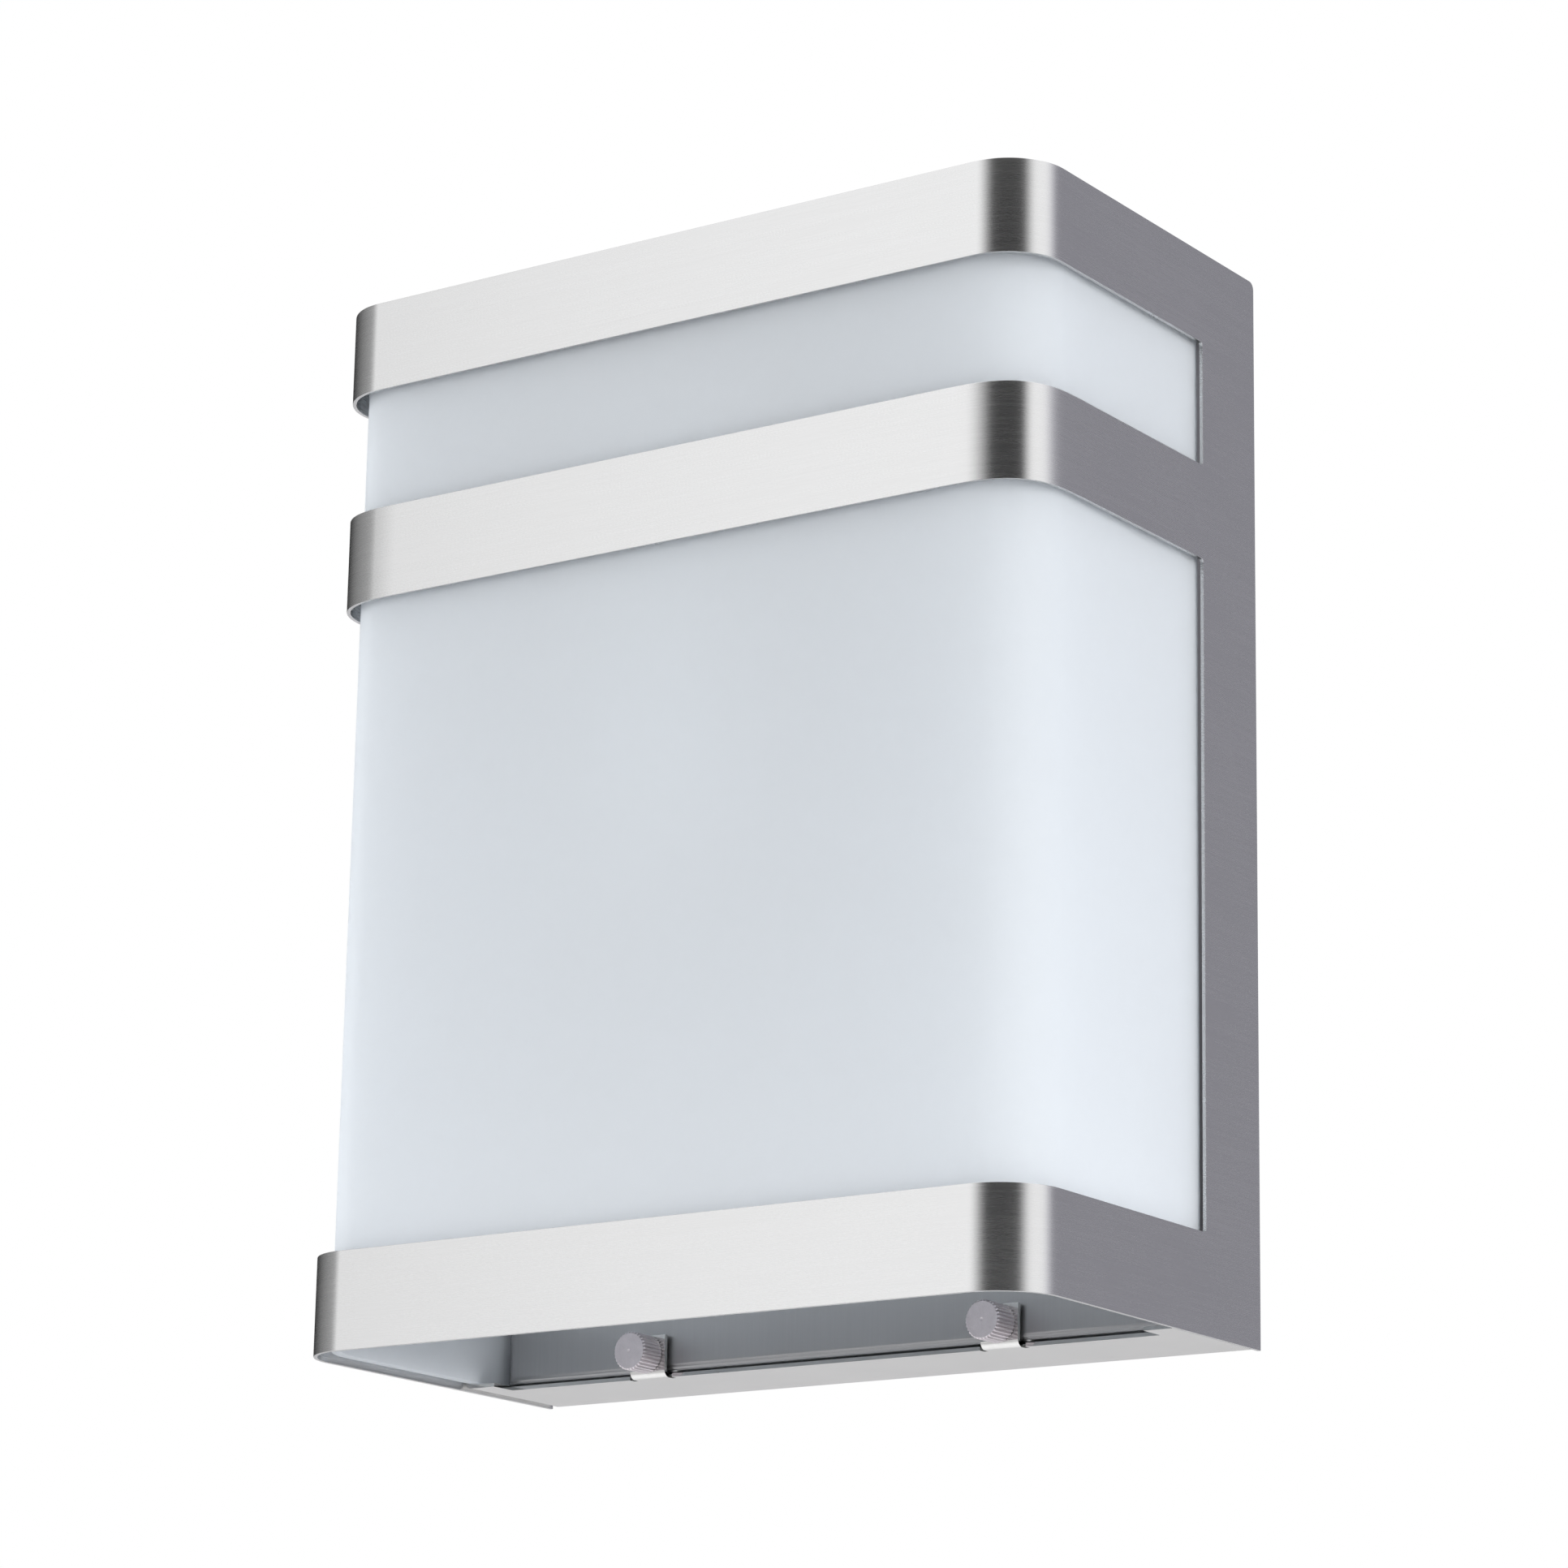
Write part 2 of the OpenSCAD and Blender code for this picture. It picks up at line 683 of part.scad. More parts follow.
// ---------- lamp holder on its bracket ----------

module lamp_bracket() {
    color("lightsteelblue") from_bottom() difference() {
        along_width(bracket_w) {
            translate([-pan_depth - bracket_t, bracket_top - bracket_leg])
                square([bracket_t, bracket_leg - bracket_bend_r]);
            translate([-pan_depth - bracket_bend_r, bracket_top - bracket_bend_r])
                bend(bracket_bend_r, bracket_t);
            translate([-bracket_end, bracket_top - bracket_t])
                square([bracket_end - pan_depth - bracket_bend_r, bracket_t]);
        }
        translate([0, -lamp_y, holder_top - past]) cylinder(h = bracket_t + 2 * past, r = lead_hole_r);
        for (side = [-1, 1])
            translate([0, side * holder_screw_y - lamp_y, holder_top - past])
                cylinder(h = bracket_t + 2 * past, r = holder_screw_r + hole_gap);
        both_sides() translate([rivet_x, 0, bracket_rivet_z])
            front_rod(pan_depth - past, bracket_t + 2 * past, bracket_rivet_r + weld_gap);
    }
}

module bracket_rivets() {
    head_t = 1.1;
    tail_l = 1.5;
    grip = pan_t + bracket_t;
    color("silver") from_bottom() both_sides() translate([rivet_x, 0, bracket_rivet_z])
        front_turned(pan_depth - pan_t - tail_l) polygon([
            [0, 0],
            [bracket_rivet_r, 0],
            [bracket_rivet_r + 0.7, 0.5],
            [bracket_rivet_r + 0.7, tail_l],
            [bracket_rivet_r, tail_l],
            [bracket_rivet_r, tail_l + grip],
            [3.2, tail_l + grip],
            [2.6, tail_l + grip + 0.7],
            [1, tail_l + grip + head_t],
            [0, tail_l + grip + head_t]
        ]);
}

module lamp_holder() {
    color("ivory") from_bottom() translate([0, -lamp_y, 0]) difference() {
        translate([0, 0, holder_bottom]) rotate_extrude() polygon([
            [0, 0],
            [holder_d / 2 - 1, 0],
            [holder_d / 2, 1],
            [holder_d / 2, holder_h - 1],
            [holder_d / 2 - 1, holder_h],
            [0, holder_h]
        ]);
        translate([0, 0, holder_bottom - past])
            cylinder(h = floor_bottom - holder_bottom + past, r = cavity_r);
        translate([0, 0, floor_top]) cylinder(h = pocket_h + past, r = pocket_r);
        both_sides() translate([terminal_x, 0, floor_bottom - past])
            cylinder(h = holder_floor_t + 2 * past, r = terminal_r + weld_gap);
        for (side = [-1, 1])
            translate([0, side * holder_screw_y, holder_top - holder_screw_l])
                cylinder(h = holder_screw_l + past, r = holder_screw_r + thread_gap);
    }
}

module holder_screws() {
    head_r = 3.2;
    head_t = 2.2;
    color("silver") from_bottom() for (side = [-1, 1])
        translate([0, side * holder_screw_y - lamp_y, holder_top - holder_screw_l + seat_gap])
            rotate_extrude() polygon([
                [0, 0],
                [holder_screw_r, 0],
                [holder_screw_r, holder_screw_l + bracket_t - seat_gap],
                [head_r, holder_screw_l + bracket_t - seat_gap],
                [head_r, holder_screw_l + bracket_t - seat_gap + head_t - 0.7],
                [head_r - 0.7, holder_screw_l + bracket_t - seat_gap + head_t],
                [0, holder_screw_l + bracket_t - seat_gap + head_t]
            ]);
}

module holder_screw_shell() {
    shell_l = floor_bottom - holder_bottom - 2;
    color("gold") from_bottom() translate([0, -lamp_y, 0]) {
        translate([0, 0, floor_bottom - shell_l]) difference() {
            cylinder(h = shell_l, r = screw_shell_r + screw_shell_t);
            translate([0, 0, -past]) cylinder(h = shell_l + 2 * past, r = screw_shell_r);
        }
        translate([terminal_x - contact_w / 2, -contact_w / 2, floor_bottom - contact_t])
            cube([screw_shell_r + screw_shell_t / 2 - terminal_x + contact_w / 2, contact_w, contact_t]);
    }
}

module holder_contact() {
    color("gold") from_bottom() translate([0, -lamp_y, 0]) {
        translate([-terminal_x - contact_w / 2, -contact_w / 2, floor_bottom - contact_t])
            cube([terminal_x + contact_w / 2, contact_w, contact_t]);
        translate([0, 0, floor_bottom - contact_t - contact_drop])
            cylinder(h = contact_t + contact_drop, r = 3);
    }
}

module holder_terminals() {
    color("goldenrod") from_bottom() both_sides() translate([terminal_x, -lamp_y, floor_bottom])
        rotate_extrude() polygon([
            [0, 0],
            [terminal_r, 0],
            [terminal_r, holder_floor_t],
            [terminal_r + 1, holder_floor_t],
            [terminal_r + 1, holder_floor_t + 1.2],
            [0, holder_floor_t + 1.2]
        ]);
}

// ---------- wiring ----------

module lead_grommet() {
    rim = 1.8;
    rim_t = 1.5;
    color("black") from_bottom() translate([0, 0, grommet_z])
        front_turned(pan_depth - pan_t - rim_t) polygon([
            [grommet_r, 0],
            [grommet_r + grommet_wall + rim, 0],
            [grommet_r + grommet_wall + rim, rim_t],
            [grommet_r + grommet_wall, rim_t],
            [grommet_r + grommet_wall, rim_t + pan_t],
            [grommet_r + grommet_wall + rim, rim_t + pan_t],
            [grommet_r + grommet_wall + rim - 0.5, 2 * rim_t + pan_t],
            [grommet_r, 2 * rim_t + pan_t]
        ]);
}

module live_lead() {
    color("black") from_bottom() lead(lamp_lead(-terminal_x, -pole_x));
}

module neutral_lead() {
    color("white") from_bottom() lead(lamp_lead(terminal_x, 0));
}

module earth_lead() {
    color("green") from_bottom() lead(earth_route());
}

module earth_ring() {
    barrel_wall = 0.6;
    color("silver") from_bottom() translate([earth_x, 0, 0]) difference() {
        union() {
            translate([0, 0, earth_z]) front_rod(pan_depth - pan_t - ring_t, ring_t, ring_r);
            translate([-lead_r, -pan_depth + pan_t, earth_z])
                cube([lead_d, ring_t, barrel_z - earth_z + barrel_l]);
            translate([0, -barrel_y, barrel_z])
                cylinder(h = barrel_l, r = lead_r + run_gap + barrel_wall);
        }
        translate([0, -barrel_y, barrel_z + barrel_wall]) cylinder(h = barrel_l, r = lead_r + run_gap);
        translate([0, 0, earth_z])
            front_rod(pan_depth - pan_t - 2 * ring_t, 3 * ring_t, earth_screw_r + run_gap);
    }
}

module earth_screw() {
    head_r = 3.8;
    head_t = 2.2;
    grip = ring_t + pan_t;
    color("limegreen") from_bottom() translate([earth_x, 0, earth_z])
        front_turned(pan_depth - grip - head_t) polygon([
            [0, 0],
            [head_r - 0.7, 0],
            [head_r, 0.7],
            [head_r, head_t],
            [earth_screw_r, head_t],
            [earth_screw_r, head_t + grip + 1.5],
            [earth_screw_r - 0.4, head_t + grip + 2],
            [0, head_t + grip + 2]
        ]);
}

module terminal_block() {
    rib = 4;
    color("whitesmoke") from_bottom() difference() {
        union() {
            translate([-block_w / 2, -block_rear - block_d, block_top - block_h])
                cube([block_w, block_d - rib, block_h]);
            for (i = [-1 : 1])
                translate([i * pole_x - pole_d / 2 - 1, -block_rear - block_d, block_top - block_h])
                    cube([pole_d + 2, block_d, block_h]);
        }
        for (i = [-1 : 1]) translate([i * pole_x, -block_y, block_top - lead_in - 1])
            cylinder(h = lead_in + past + 1, r = lead_r + hole_gap);
        for (i = [-1 : 1]) translate([i * pole_x, -block_y, block_top - block_h - past])
            cylinder(h = lead_in + past + 1, r = lead_r + hole_gap);
        for (i = [-1 : 1], side = [-1, 1])
            translate([i * pole_x, 0, earth_z + side * block_h / 4])
                front_rod(block_rear - past, past + rib - 1, terminal_screw_r + hole_gap);
        both_sides() translate([pole_x / 2, 0, earth_z])
            front_rod(pan_depth - pan_t - block_screw_l, block_screw_l + past, block_screw_r + thread_gap);
    }
}

module terminal_screws() {
    color("silver") from_bottom() for (i = [-1 : 1], side = [-1, 1])
        translate([i * pole_x, 0, earth_z + side * block_h / 4]) difference() {
            front_rod(block_rear + 1, 2 - weld_gap, terminal_screw_r);
            translate([0, -block_rear, 0]) cube([drive_l, drive_d, drive_w], center = true);
        }
}

module block_screws() {
    head_r = 2.8;
    head_t = 1.9;
    color("silver") from_bottom() both_sides() translate([pole_x / 2, 0, earth_z])
        front_turned(pan_depth - pan_t - block_screw_l + seat_gap) polygon([
            [0, 0],
            [block_screw_r, 0.8],
            [block_screw_r, block_screw_l + pan_t - seat_gap],
            [head_r, block_screw_l + pan_t - seat_gap],
            [head_r, block_screw_l + pan_t - seat_gap + head_t - 0.6],
            [head_r - 0.6, block_screw_l + pan_t - seat_gap + head_t],
            [0, block_screw_l + pan_t - seat_gap + head_t]
        ]);
}

// ---------- shade ----------

// Cuts a window through the front and both sides, with rounded rear corners
module window_cut(z, h) {
    along_width(shade_w + 2 * past) translate([-side_strip_w - shade_d, z + h / 2])
        rotate(90) rounded_front(h / 2, shade_d, window_r);
}

// Cuts the corner between the top and the wall to the top plate's bend
module rear_corner_cut() {
    along_width(shade_w + 2 * past) translate([-rear_bend_r, shade_h - rear_bend_r]) difference() {
        square(rear_bend_r + past);
        circle(rear_bend_r);
    }
}

module shade_shell() {
    color("silver") from_bottom() difference() {
        linear_extrude(shade_h) difference() {
            rounded_front(shade_w / 2, shade_d, corner_r);
            rounded_front(shell_half, shell_front, corner_r - sheet_t, past);
        }
        window_cut(lower_window_z, lower_window_h);
        window_cut(upper_window_z, upper_window_h);
        rear_corner_cut();
    }
}

module top_plate() {
    plate_half = shell_half - weld_gap;
    color("silver") from_bottom() {
        translate([0, 0, plate_z]) linear_extrude(sheet_t) difference() {
            rounded_front(plate_half, shell_front - weld_gap, corner_r - sheet_t - weld_gap);
            translate([-shade_w, -rear_bend_r]) square([2 * shade_w, 2 * rear_bend_r]);
        }
        along_width(2 * plate_half) {
            translate([-rear_bend_r, shade_h - rear_bend_r]) bend(rear_bend_r, sheet_t);
            translate([-sheet_t, shade_h - top_lip_h]) square([sheet_t, top_lip_h - rear_bend_r]);
        }
    }
}

// Outline of the flange's flat part
module flange_outline() {
    flat_half = shell_half - weld_gap - flange_bend_r;
    lug_inner = shell_half - lug_w;
    difference() {
        union() {
            translate([-flat_half, -flange_front]) square([2 * flat_half, flange_front]);
            both_sides() translate([lug_inner, -flange_front - lug_reach])
                square([flat_half - lug_inner, flange_front + lug_reach]);
        }
        both_sides() for (side = [-1, 1])
            translate([tab_spacing / 2 + side * (tab_w + notch_w) / 2 - notch_w / 2, -flange_front - past])
                square([notch_w, notch_d + past]);
    }
}

module bottom_flange() {
    ear_x = shell_half - weld_gap;
    tab_foot_l = tab_front - flange_bend_r - flange_front + notch_d + past;
    color("gainsboro") from_bottom() difference() {
        translate([0, 0, flange_lift]) {
            linear_extrude(sheet_t) flange_outline();
            both_sides() towards_front(0, flange_front + lug_reach) {
                translate([ear_x - flange_bend_r, flange_bend_r]) rotate(-90) bend(flange_bend_r, sheet_t);
                translate([ear_x - sheet_t, flange_bend_r]) square([sheet_t, ear_h - flange_bend_r]);
            }
            both_sides() translate([tab_spacing / 2, 0, 0]) along_width(tab_w) {
                translate([flange_bend_r - tab_front, flange_bend_r]) rotate(180) bend(flange_bend_r, sheet_t);
                translate([flange_bend_r - tab_front, 0]) square([tab_foot_l, sheet_t]);
                translate([-tab_front, flange_bend_r])
                    square([sheet_t, tab_h - flange_lift - flange_bend_r]);
            }
        }
        both_sides() translate([tab_spacing / 2, 0, knob_z])
            front_rod(tab_rear - past, sheet_t + 2 * past, stud_r + run_gap);
    }
}

module hanger_bracket() {
    rail_half = tab_spacing / 2 + arm_w / 2;
    color("silver") from_bottom() difference() {
        union() {
            along_width(2 * rail_half) {
                translate([-tab_rear - flange_bend_r - rail_d, rail_z]) square([rail_d, sheet_t]);
                translate([-tab_rear - flange_bend_r, rail_z + sheet_t - flange_bend_r])
                    bend(flange_bend_r, sheet_t);
            }
            both_sides() translate([tab_spacing / 2 - arm_w / 2, -tab_front, arm_bottom])
                cube([arm_w, sheet_t, rail_z + sheet_t - flange_bend_r - arm_bottom]);
        }
        both_sides() translate([(tab_spacing - tongue_w) / 2 - slot_play, -tab_front - past,
            tongue_z - pan_t - slot_play])
            cube([tongue_w + 2 * slot_play, sheet_t + 2 * past, pan_t + 2 * slot_play]);
    }
}

module diffuser() {
    color("white") from_bottom() translate([0, 0, diffuser_z]) linear_extrude(diffuser_h) difference() {
        rounded_front(diffuser_half, diffuser_front, diffuser_r);
        rounded_front(diffuser_half - diffuser_t, diffuser_front - diffuser_t,
            diffuser_r - diffuser_t, past);
        translate([-shade_w, -diffuser_rear]) square([2 * shade_w, diffuser_rear + past]);
    }
}

// Places its children at each clip, on the right side wall's inner face
module at_clips() {
    both_sides() for (z = clip_zs) translate([shell_half - weld_gap, 0, z]) children();
}

module diffuser_clips() {
    color("silver") from_bottom() at_clips() difference() {
        translate([0, 0, -clip_w / 2]) linear_extrude(clip_w) {
            translate([-clip_t, -clip_leg_y]) square([clip_t, clip_leg_y - clip_stud_y + clip_nut_r + 2]);
            translate([-clip_reach, -clip_leg_y]) square([clip_reach, clip_t]);
        }
        translate([-clip_t - past, -clip_stud_y, 0]) rotate([0, 90, 0])
            cylinder(h = clip_t + 2 * past, r = clip_stud_r + run_gap);
    }
}

module clip_studs() {
    color("silver") from_bottom() at_clips()
        translate([-clip_stud_l, -clip_stud_y, 0]) rotate([0, 90, 0])
            cylinder(h = clip_stud_l, r = clip_stud_r);
}

module clip_nuts() {
    color("silver") from_bottom() at_clips()
        translate([-clip_t - clip_nut_t, -clip_stud_y, 0]) rotate([0, 90, 0]) difference() {
            cylinder(h = clip_nut_t, r = clip_nut_r, $fn = 6);
            translate([0, 0, -past]) cylinder(h = clip_nut_t + 2 * past, r = clip_stud_r + thread_gap);
        }
}

module diffuser_pads() {
    pad_t = diffuser_gap - 2 * weld_gap;
    color("white") from_bottom() for (z = [mid_band_z, top_band_z]) {
        both_sides() translate([pad_spacing / 2 - pad_w / 2, -shell_front + weld_gap, z - pad_w / 2])
            cube([pad_w, pad_t, pad_w]);
        both_sides() translate([diffuser_half + weld_gap, -(shade_d + diffuser_rear) / 2 - pad_w / 2,
            z - pad_w / 2])
            cube([pad_t, pad_w, pad_w]);
    }
}

// ---------- lamp ----------

module at_lamp(z) {
    from_bottom() translate([0, -lamp_y, z]) children();
}

module lamp_tip() {
    color("silver") at_lamp(lamp_top) rotate_extrude() polygon([
        [0, -tip_h],
        [tip_r, -tip_h],
        [tip_r - 0.4, -0.5],
        [tip_r - 1.6, 0],
        [0, 0]
    ]);
}

module lamp_insulator() {
    color("black") at_lamp(lamp_top - tip_h - run_gap) rotate_extrude() polygon([
        [0, -insulator_h + run_gap],
        [insulator_r, -insulator_h + run_gap],
        [insulator_r, 0.8 - insulator_h],
        [tip_r + 1, 0],
        [0, 0]
    ]);
}

module lamp_screw_base() {
    screw_l = thread_top - base_bottom;
    turns = floor((screw_l - 3) / base_pitch);
    steps = 8;
    color("silver") at_lamp(base_bottom) rotate_extrude() polygon([
        [0, 0],
        [base_r - thread_ridge, 0],
        for (i = [0 : turns * steps])
            [base_r - thread_ridge / 2 * (1 + cos(i * 360 / steps)), 1.5 + i * base_pitch / steps],
        [insulator_r, screw_l],
        [0, screw_l]
    ]);
}

module lamp_collar() {
    collar_l = base_bottom - collar_bottom;
    color("whitesmoke") at_lamp(collar_bottom) difference() {
        rotate_extrude() polygon([
            [0, 0],
            [collar_end_r, 0],
            [neck_r, collar_l - neck_l],
            [neck_end_r, collar_l],
            [0, collar_l]
        ]);
        translate([0, 0, -past]) cylinder(h = collar_l - neck_l, r = neck_r - lamp_wall);
        translate([0, 0, -past]) cylinder(h = past + led_board_t, r = collar_end_r - lamp_wall);
    }
}

module lamp_led_board() {
    led_ring_r = collar_end_r - 2 * lamp_wall - led_margin;
    color("white") at_lamp(collar_bottom) {
        cylinder(h = led_board_t, r = collar_end_r - lamp_wall - weld_gap);
        for (i = [0 : 11])
            rotate(i * 30) translate([led_ring_r, 0, -0.8]) cube([2.8, 2.8, 1.6], center = true);
    }
}

module lamp_globe() {
    color("white") at_lamp(dome_z) rotate_extrude() difference() {
        union() {
            intersection() {
                circle(lamp_r);
                translate([0, -lamp_r]) square([lamp_r, lamp_r]);
            }
            polygon([[0, 0], [lamp_r, 0], [collar_end_r, dome_to_collar - weld_gap],
                [0, dome_to_collar - weld_gap]]);
        }
        intersection() {
            circle(lamp_r - lamp_wall);
            translate([0, -lamp_r]) square([lamp_r, lamp_r]);
        }
        polygon([
            [0, 0],
            [lamp_r - lamp_wall, 0],
            [collar_end_r - lamp_wall, dome_to_collar],
            [0, dome_to_collar]
        ]);
    }
}

mounting_pan();
wall_seal();
crossbar();
fixture_screws();
lock_nuts();
sealing_washers();
cap_nuts();
rivet_nuts();
lamp_bracket();
bracket_rivets();
lamp_holder();
holder_screws();
holder_screw_shell();
holder_contact();
holder_terminals();
lead_grommet();
live_lead();
neutral_lead();
earth_lead();
earth_ring();
earth_screw();
terminal_block();
terminal_screws();
block_screws();
shade_shell();
top_plate();
bottom_flange();
hanger_bracket();
diffuser();
diffuser_clips();
clip_studs();
clip_nuts();
diffuser_pads();
left_stud();
left_knob();
right_stud();
right_knob();
lamp_tip();
lamp_insulator();
lamp_screw_base();
lamp_collar();
lamp_led_board();
lamp_globe();
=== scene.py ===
"""Outdoor wall lantern: its finishes, sheet metal, lamp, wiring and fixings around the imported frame.

Sizes are in millimetres, in the frame's own axes: +X is right, +Y goes into the wall and +Z is up,
from the centre of the outlet box. A mesh is brought to metres when its piece is finished.
"""

from __future__ import annotations

import json
import logging
import math
from collections.abc import Callable, Mapping, Sequence
from dataclasses import dataclass, field
from enum import Enum

import bmesh
import bpy
from mathutils import Matrix, Vector

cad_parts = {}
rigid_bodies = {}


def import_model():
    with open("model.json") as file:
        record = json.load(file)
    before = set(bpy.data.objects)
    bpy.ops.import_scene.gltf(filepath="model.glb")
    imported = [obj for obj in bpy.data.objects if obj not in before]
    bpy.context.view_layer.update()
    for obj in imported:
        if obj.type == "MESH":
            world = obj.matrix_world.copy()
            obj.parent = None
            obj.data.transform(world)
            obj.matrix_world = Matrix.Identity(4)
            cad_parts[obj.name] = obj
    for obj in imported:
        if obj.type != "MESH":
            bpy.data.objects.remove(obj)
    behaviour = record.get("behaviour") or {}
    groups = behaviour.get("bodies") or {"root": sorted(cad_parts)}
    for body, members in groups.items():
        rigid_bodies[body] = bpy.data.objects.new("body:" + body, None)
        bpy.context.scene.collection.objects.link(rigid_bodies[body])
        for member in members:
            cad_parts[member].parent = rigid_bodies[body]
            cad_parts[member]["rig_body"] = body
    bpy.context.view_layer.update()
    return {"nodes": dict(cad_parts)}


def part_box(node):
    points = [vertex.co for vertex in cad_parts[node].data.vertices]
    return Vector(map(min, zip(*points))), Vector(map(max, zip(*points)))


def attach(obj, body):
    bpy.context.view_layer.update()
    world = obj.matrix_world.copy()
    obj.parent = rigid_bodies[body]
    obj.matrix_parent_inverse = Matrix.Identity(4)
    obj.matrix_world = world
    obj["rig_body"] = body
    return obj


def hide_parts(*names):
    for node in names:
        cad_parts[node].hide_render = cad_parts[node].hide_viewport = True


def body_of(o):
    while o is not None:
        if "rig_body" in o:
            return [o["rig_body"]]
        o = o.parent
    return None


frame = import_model()

MM = 0.001
FULL_TURN = math.tau
QUARTER_TURN = math.pi / 2
ALONG_X = Vector((1, 0, 0))
ALONG_Y = Vector((0, 1, 0))
ALONG_Z = Vector((0, 0, 1))
WELD = 0.001

Colour = tuple[float, float, float]
Point = tuple[float, float, float]
Pair = tuple[float, float]
Mesh = bmesh.types.BMesh
Edge = bmesh.types.BMEdge
Vert = bmesh.types.BMVert

log = logging.getLogger("wall_lantern")


# Shader graph


class Wire:
    """One output of a shader node. Arithmetic on it adds Math nodes."""

    def __init__(self, graph: Graph, socket: bpy.types.NodeSocket) -> None:
        """Keeps the output and the graph that new nodes go into.

        Args:
            graph: the graph of the material that the output is in.
            socket: the output.
        """
        self.graph = graph
        self.socket = socket

    def __add__(self, other: Number) -> Wire:
        """Adds a number or another output."""
        return self.graph.maths("ADD", self, other)

    def __sub__(self, other: Number) -> Wire:
        """Takes a number or another output away."""
        return self.graph.maths("SUBTRACT", self, other)

    def __rsub__(self, other: Number) -> Wire:
        """Takes this output away from a number."""
        return self.graph.maths("SUBTRACT", other, self)

    def __mul__(self, other: Number) -> Wire:
        """Multiplies by a number or another output."""
        return self.graph.maths("MULTIPLY", self, other)

    __radd__ = __add__
    __rmul__ = __mul__

    def sine(self) -> Wire:
        """Gives the sine."""
        return self.graph.maths("SINE", self)

    def size(self) -> Wire:
        """Gives the value without its sign."""
        return self.graph.maths("ABSOLUTE", self)

    def swing(self, amount: float) -> Wire:
        """Gives how far a value from 0 to 1 is from its middle, times an amount."""
        return (self - 0.5) * amount

    def mixed(self, other: Wire, share: float) -> Wire:
        """Mixes in a share of another value."""
        return self * (1 - share) + other * share

    def rise(self, low: float, high: float) -> Wire:
        """Goes smoothly from 0 at one value to 1 at another.

        Args:
            low: the value that gives 0.
            high: the value that gives 1.

        Returns:
            The eased value.
        """
        return self.graph.add(
            "ShaderNodeMapRange",
            {"interpolation_type": "SMOOTHSTEP"},
            {"Value": self, "From Min": low, "From Max": high},
        )


Number = Wire | float


@dataclass
class Graph:
    """The node tree of one material or world."""

    tree: bpy.types.NodeTree

    def add(
        self,
        kind: str,
        settings: Mapping[str, object] | None = None,
        values: Mapping[str | int, object] | None = None,
        output: str | int = 0,
    ) -> Wire | None:
        """Adds a node.

        Args:
            kind: the node's type.
            settings: its own settings, set first.
            values: a value or an output for each of its sockets, by name or number.
            output: which of its outputs to give back.

        Returns:
            The output, or None where the node has none.
        """
        node = self.tree.nodes.new(kind)
        for name, setting in (settings or {}).items():
            setattr(node, name, setting)
        for name, value in (values or {}).items():
            self.set_socket(node.inputs[name], value)
        return Wire(self, node.outputs[output]) if node.outputs else None

    def set_socket(self, socket: bpy.types.NodeSocket, value: object) -> None:
        """Links an output to a socket, or sets the socket's own value.

        Args:
            socket: the socket.
            value: the output, number, vector or colour.
        """
        if isinstance(value, Wire):
            self.tree.links.new(value.socket, socket)
        elif socket.type == "RGBA" and len(value) == 3:
            socket.default_value = (*value, 1.0)
        else:
            socket.default_value = value

    def maths(self, operation: str, *terms: Number) -> Wire:
        """Adds a Math node for an operation on its terms."""
        return self.add("ShaderNodeMath", {"operation": operation}, dict(enumerate(terms)))

    def blend(self, low: Wire | Colour, high: Wire | Colour, share: Wire) -> Wire:
        """Mixes two colours.

        Args:
            low: the colour where the share is 0.
            high: the colour where the share is 1.
            share: the share of the second colour.

        Returns:
            The mixed colour.
        """
        values = {0: share, 6: low, 7: high}
        return self.add("ShaderNodeMix", {"data_type": "RGBA"}, values, output=2)

    def place(self, scale: Point = (1, 1, 1), shift: Point = (0, 0, 0)) -> Wire:
        """Gives the place on the piece, in millimetres, shifted and then scaled.

        Args:
            scale: what each coordinate is multiplied by, after the shift.
            shift: what is added to each coordinate, in millimetres.

        Returns:
            The vector.
        """
        here = self.add("ShaderNodeTexCoord", output="Object")
        factor = tuple(axis / MM for axis in scale)
        offset = tuple(axis * step for axis, step in zip(scale, shift))
        settings = {"operation": "MULTIPLY_ADD"}
        return self.add("ShaderNodeVectorMath", settings, {0: here, 1: factor, 2: offset})

    def axes(self, vector: Wire) -> tuple[Wire, ...]:
        """Splits a vector into its three coordinates."""
        node = self.add("ShaderNodeSeparateXYZ", values={0: vector}).socket.node
        return tuple(Wire(self, output) for output in node.outputs)

    def noise(self, vector: Wire, scale: float = 1.0, detail: float = 2.0) -> Wire:
        """Gives smooth noise from 0 to 1.

        Args:
            vector: the place that it is read at.
            scale: how many features there are in one unit of the vector.
            detail: how many finer layers it has.

        Returns:
            The noise.
        """
        values = {"Vector": vector, "Scale": scale, "Detail": detail}
        return self.add("ShaderNodeTexNoise", values=values)

    def cells(self, vector: Wire, scale: float = 1.0) -> Wire:
        """Gives the distance to the nearest of many scattered points."""
        return self.add("ShaderNodeTexVoronoi", values={"Vector": vector, "Scale": scale})


# Finishes


@dataclass
class Surface:
    """What a finish gives its shader: the values that change, and the shader's own constants.

    The height goes from 0 to 1, and depth is how much relief that is, in millimetres.
    """

    colour: Wire | Colour
    roughness: Wire | float
    height: Wire | None = None
    depth: float = 0.0
    coat: Wire | None = None
    through: Wire | None = None
    constants: dict[str, object] = field(default_factory=dict)


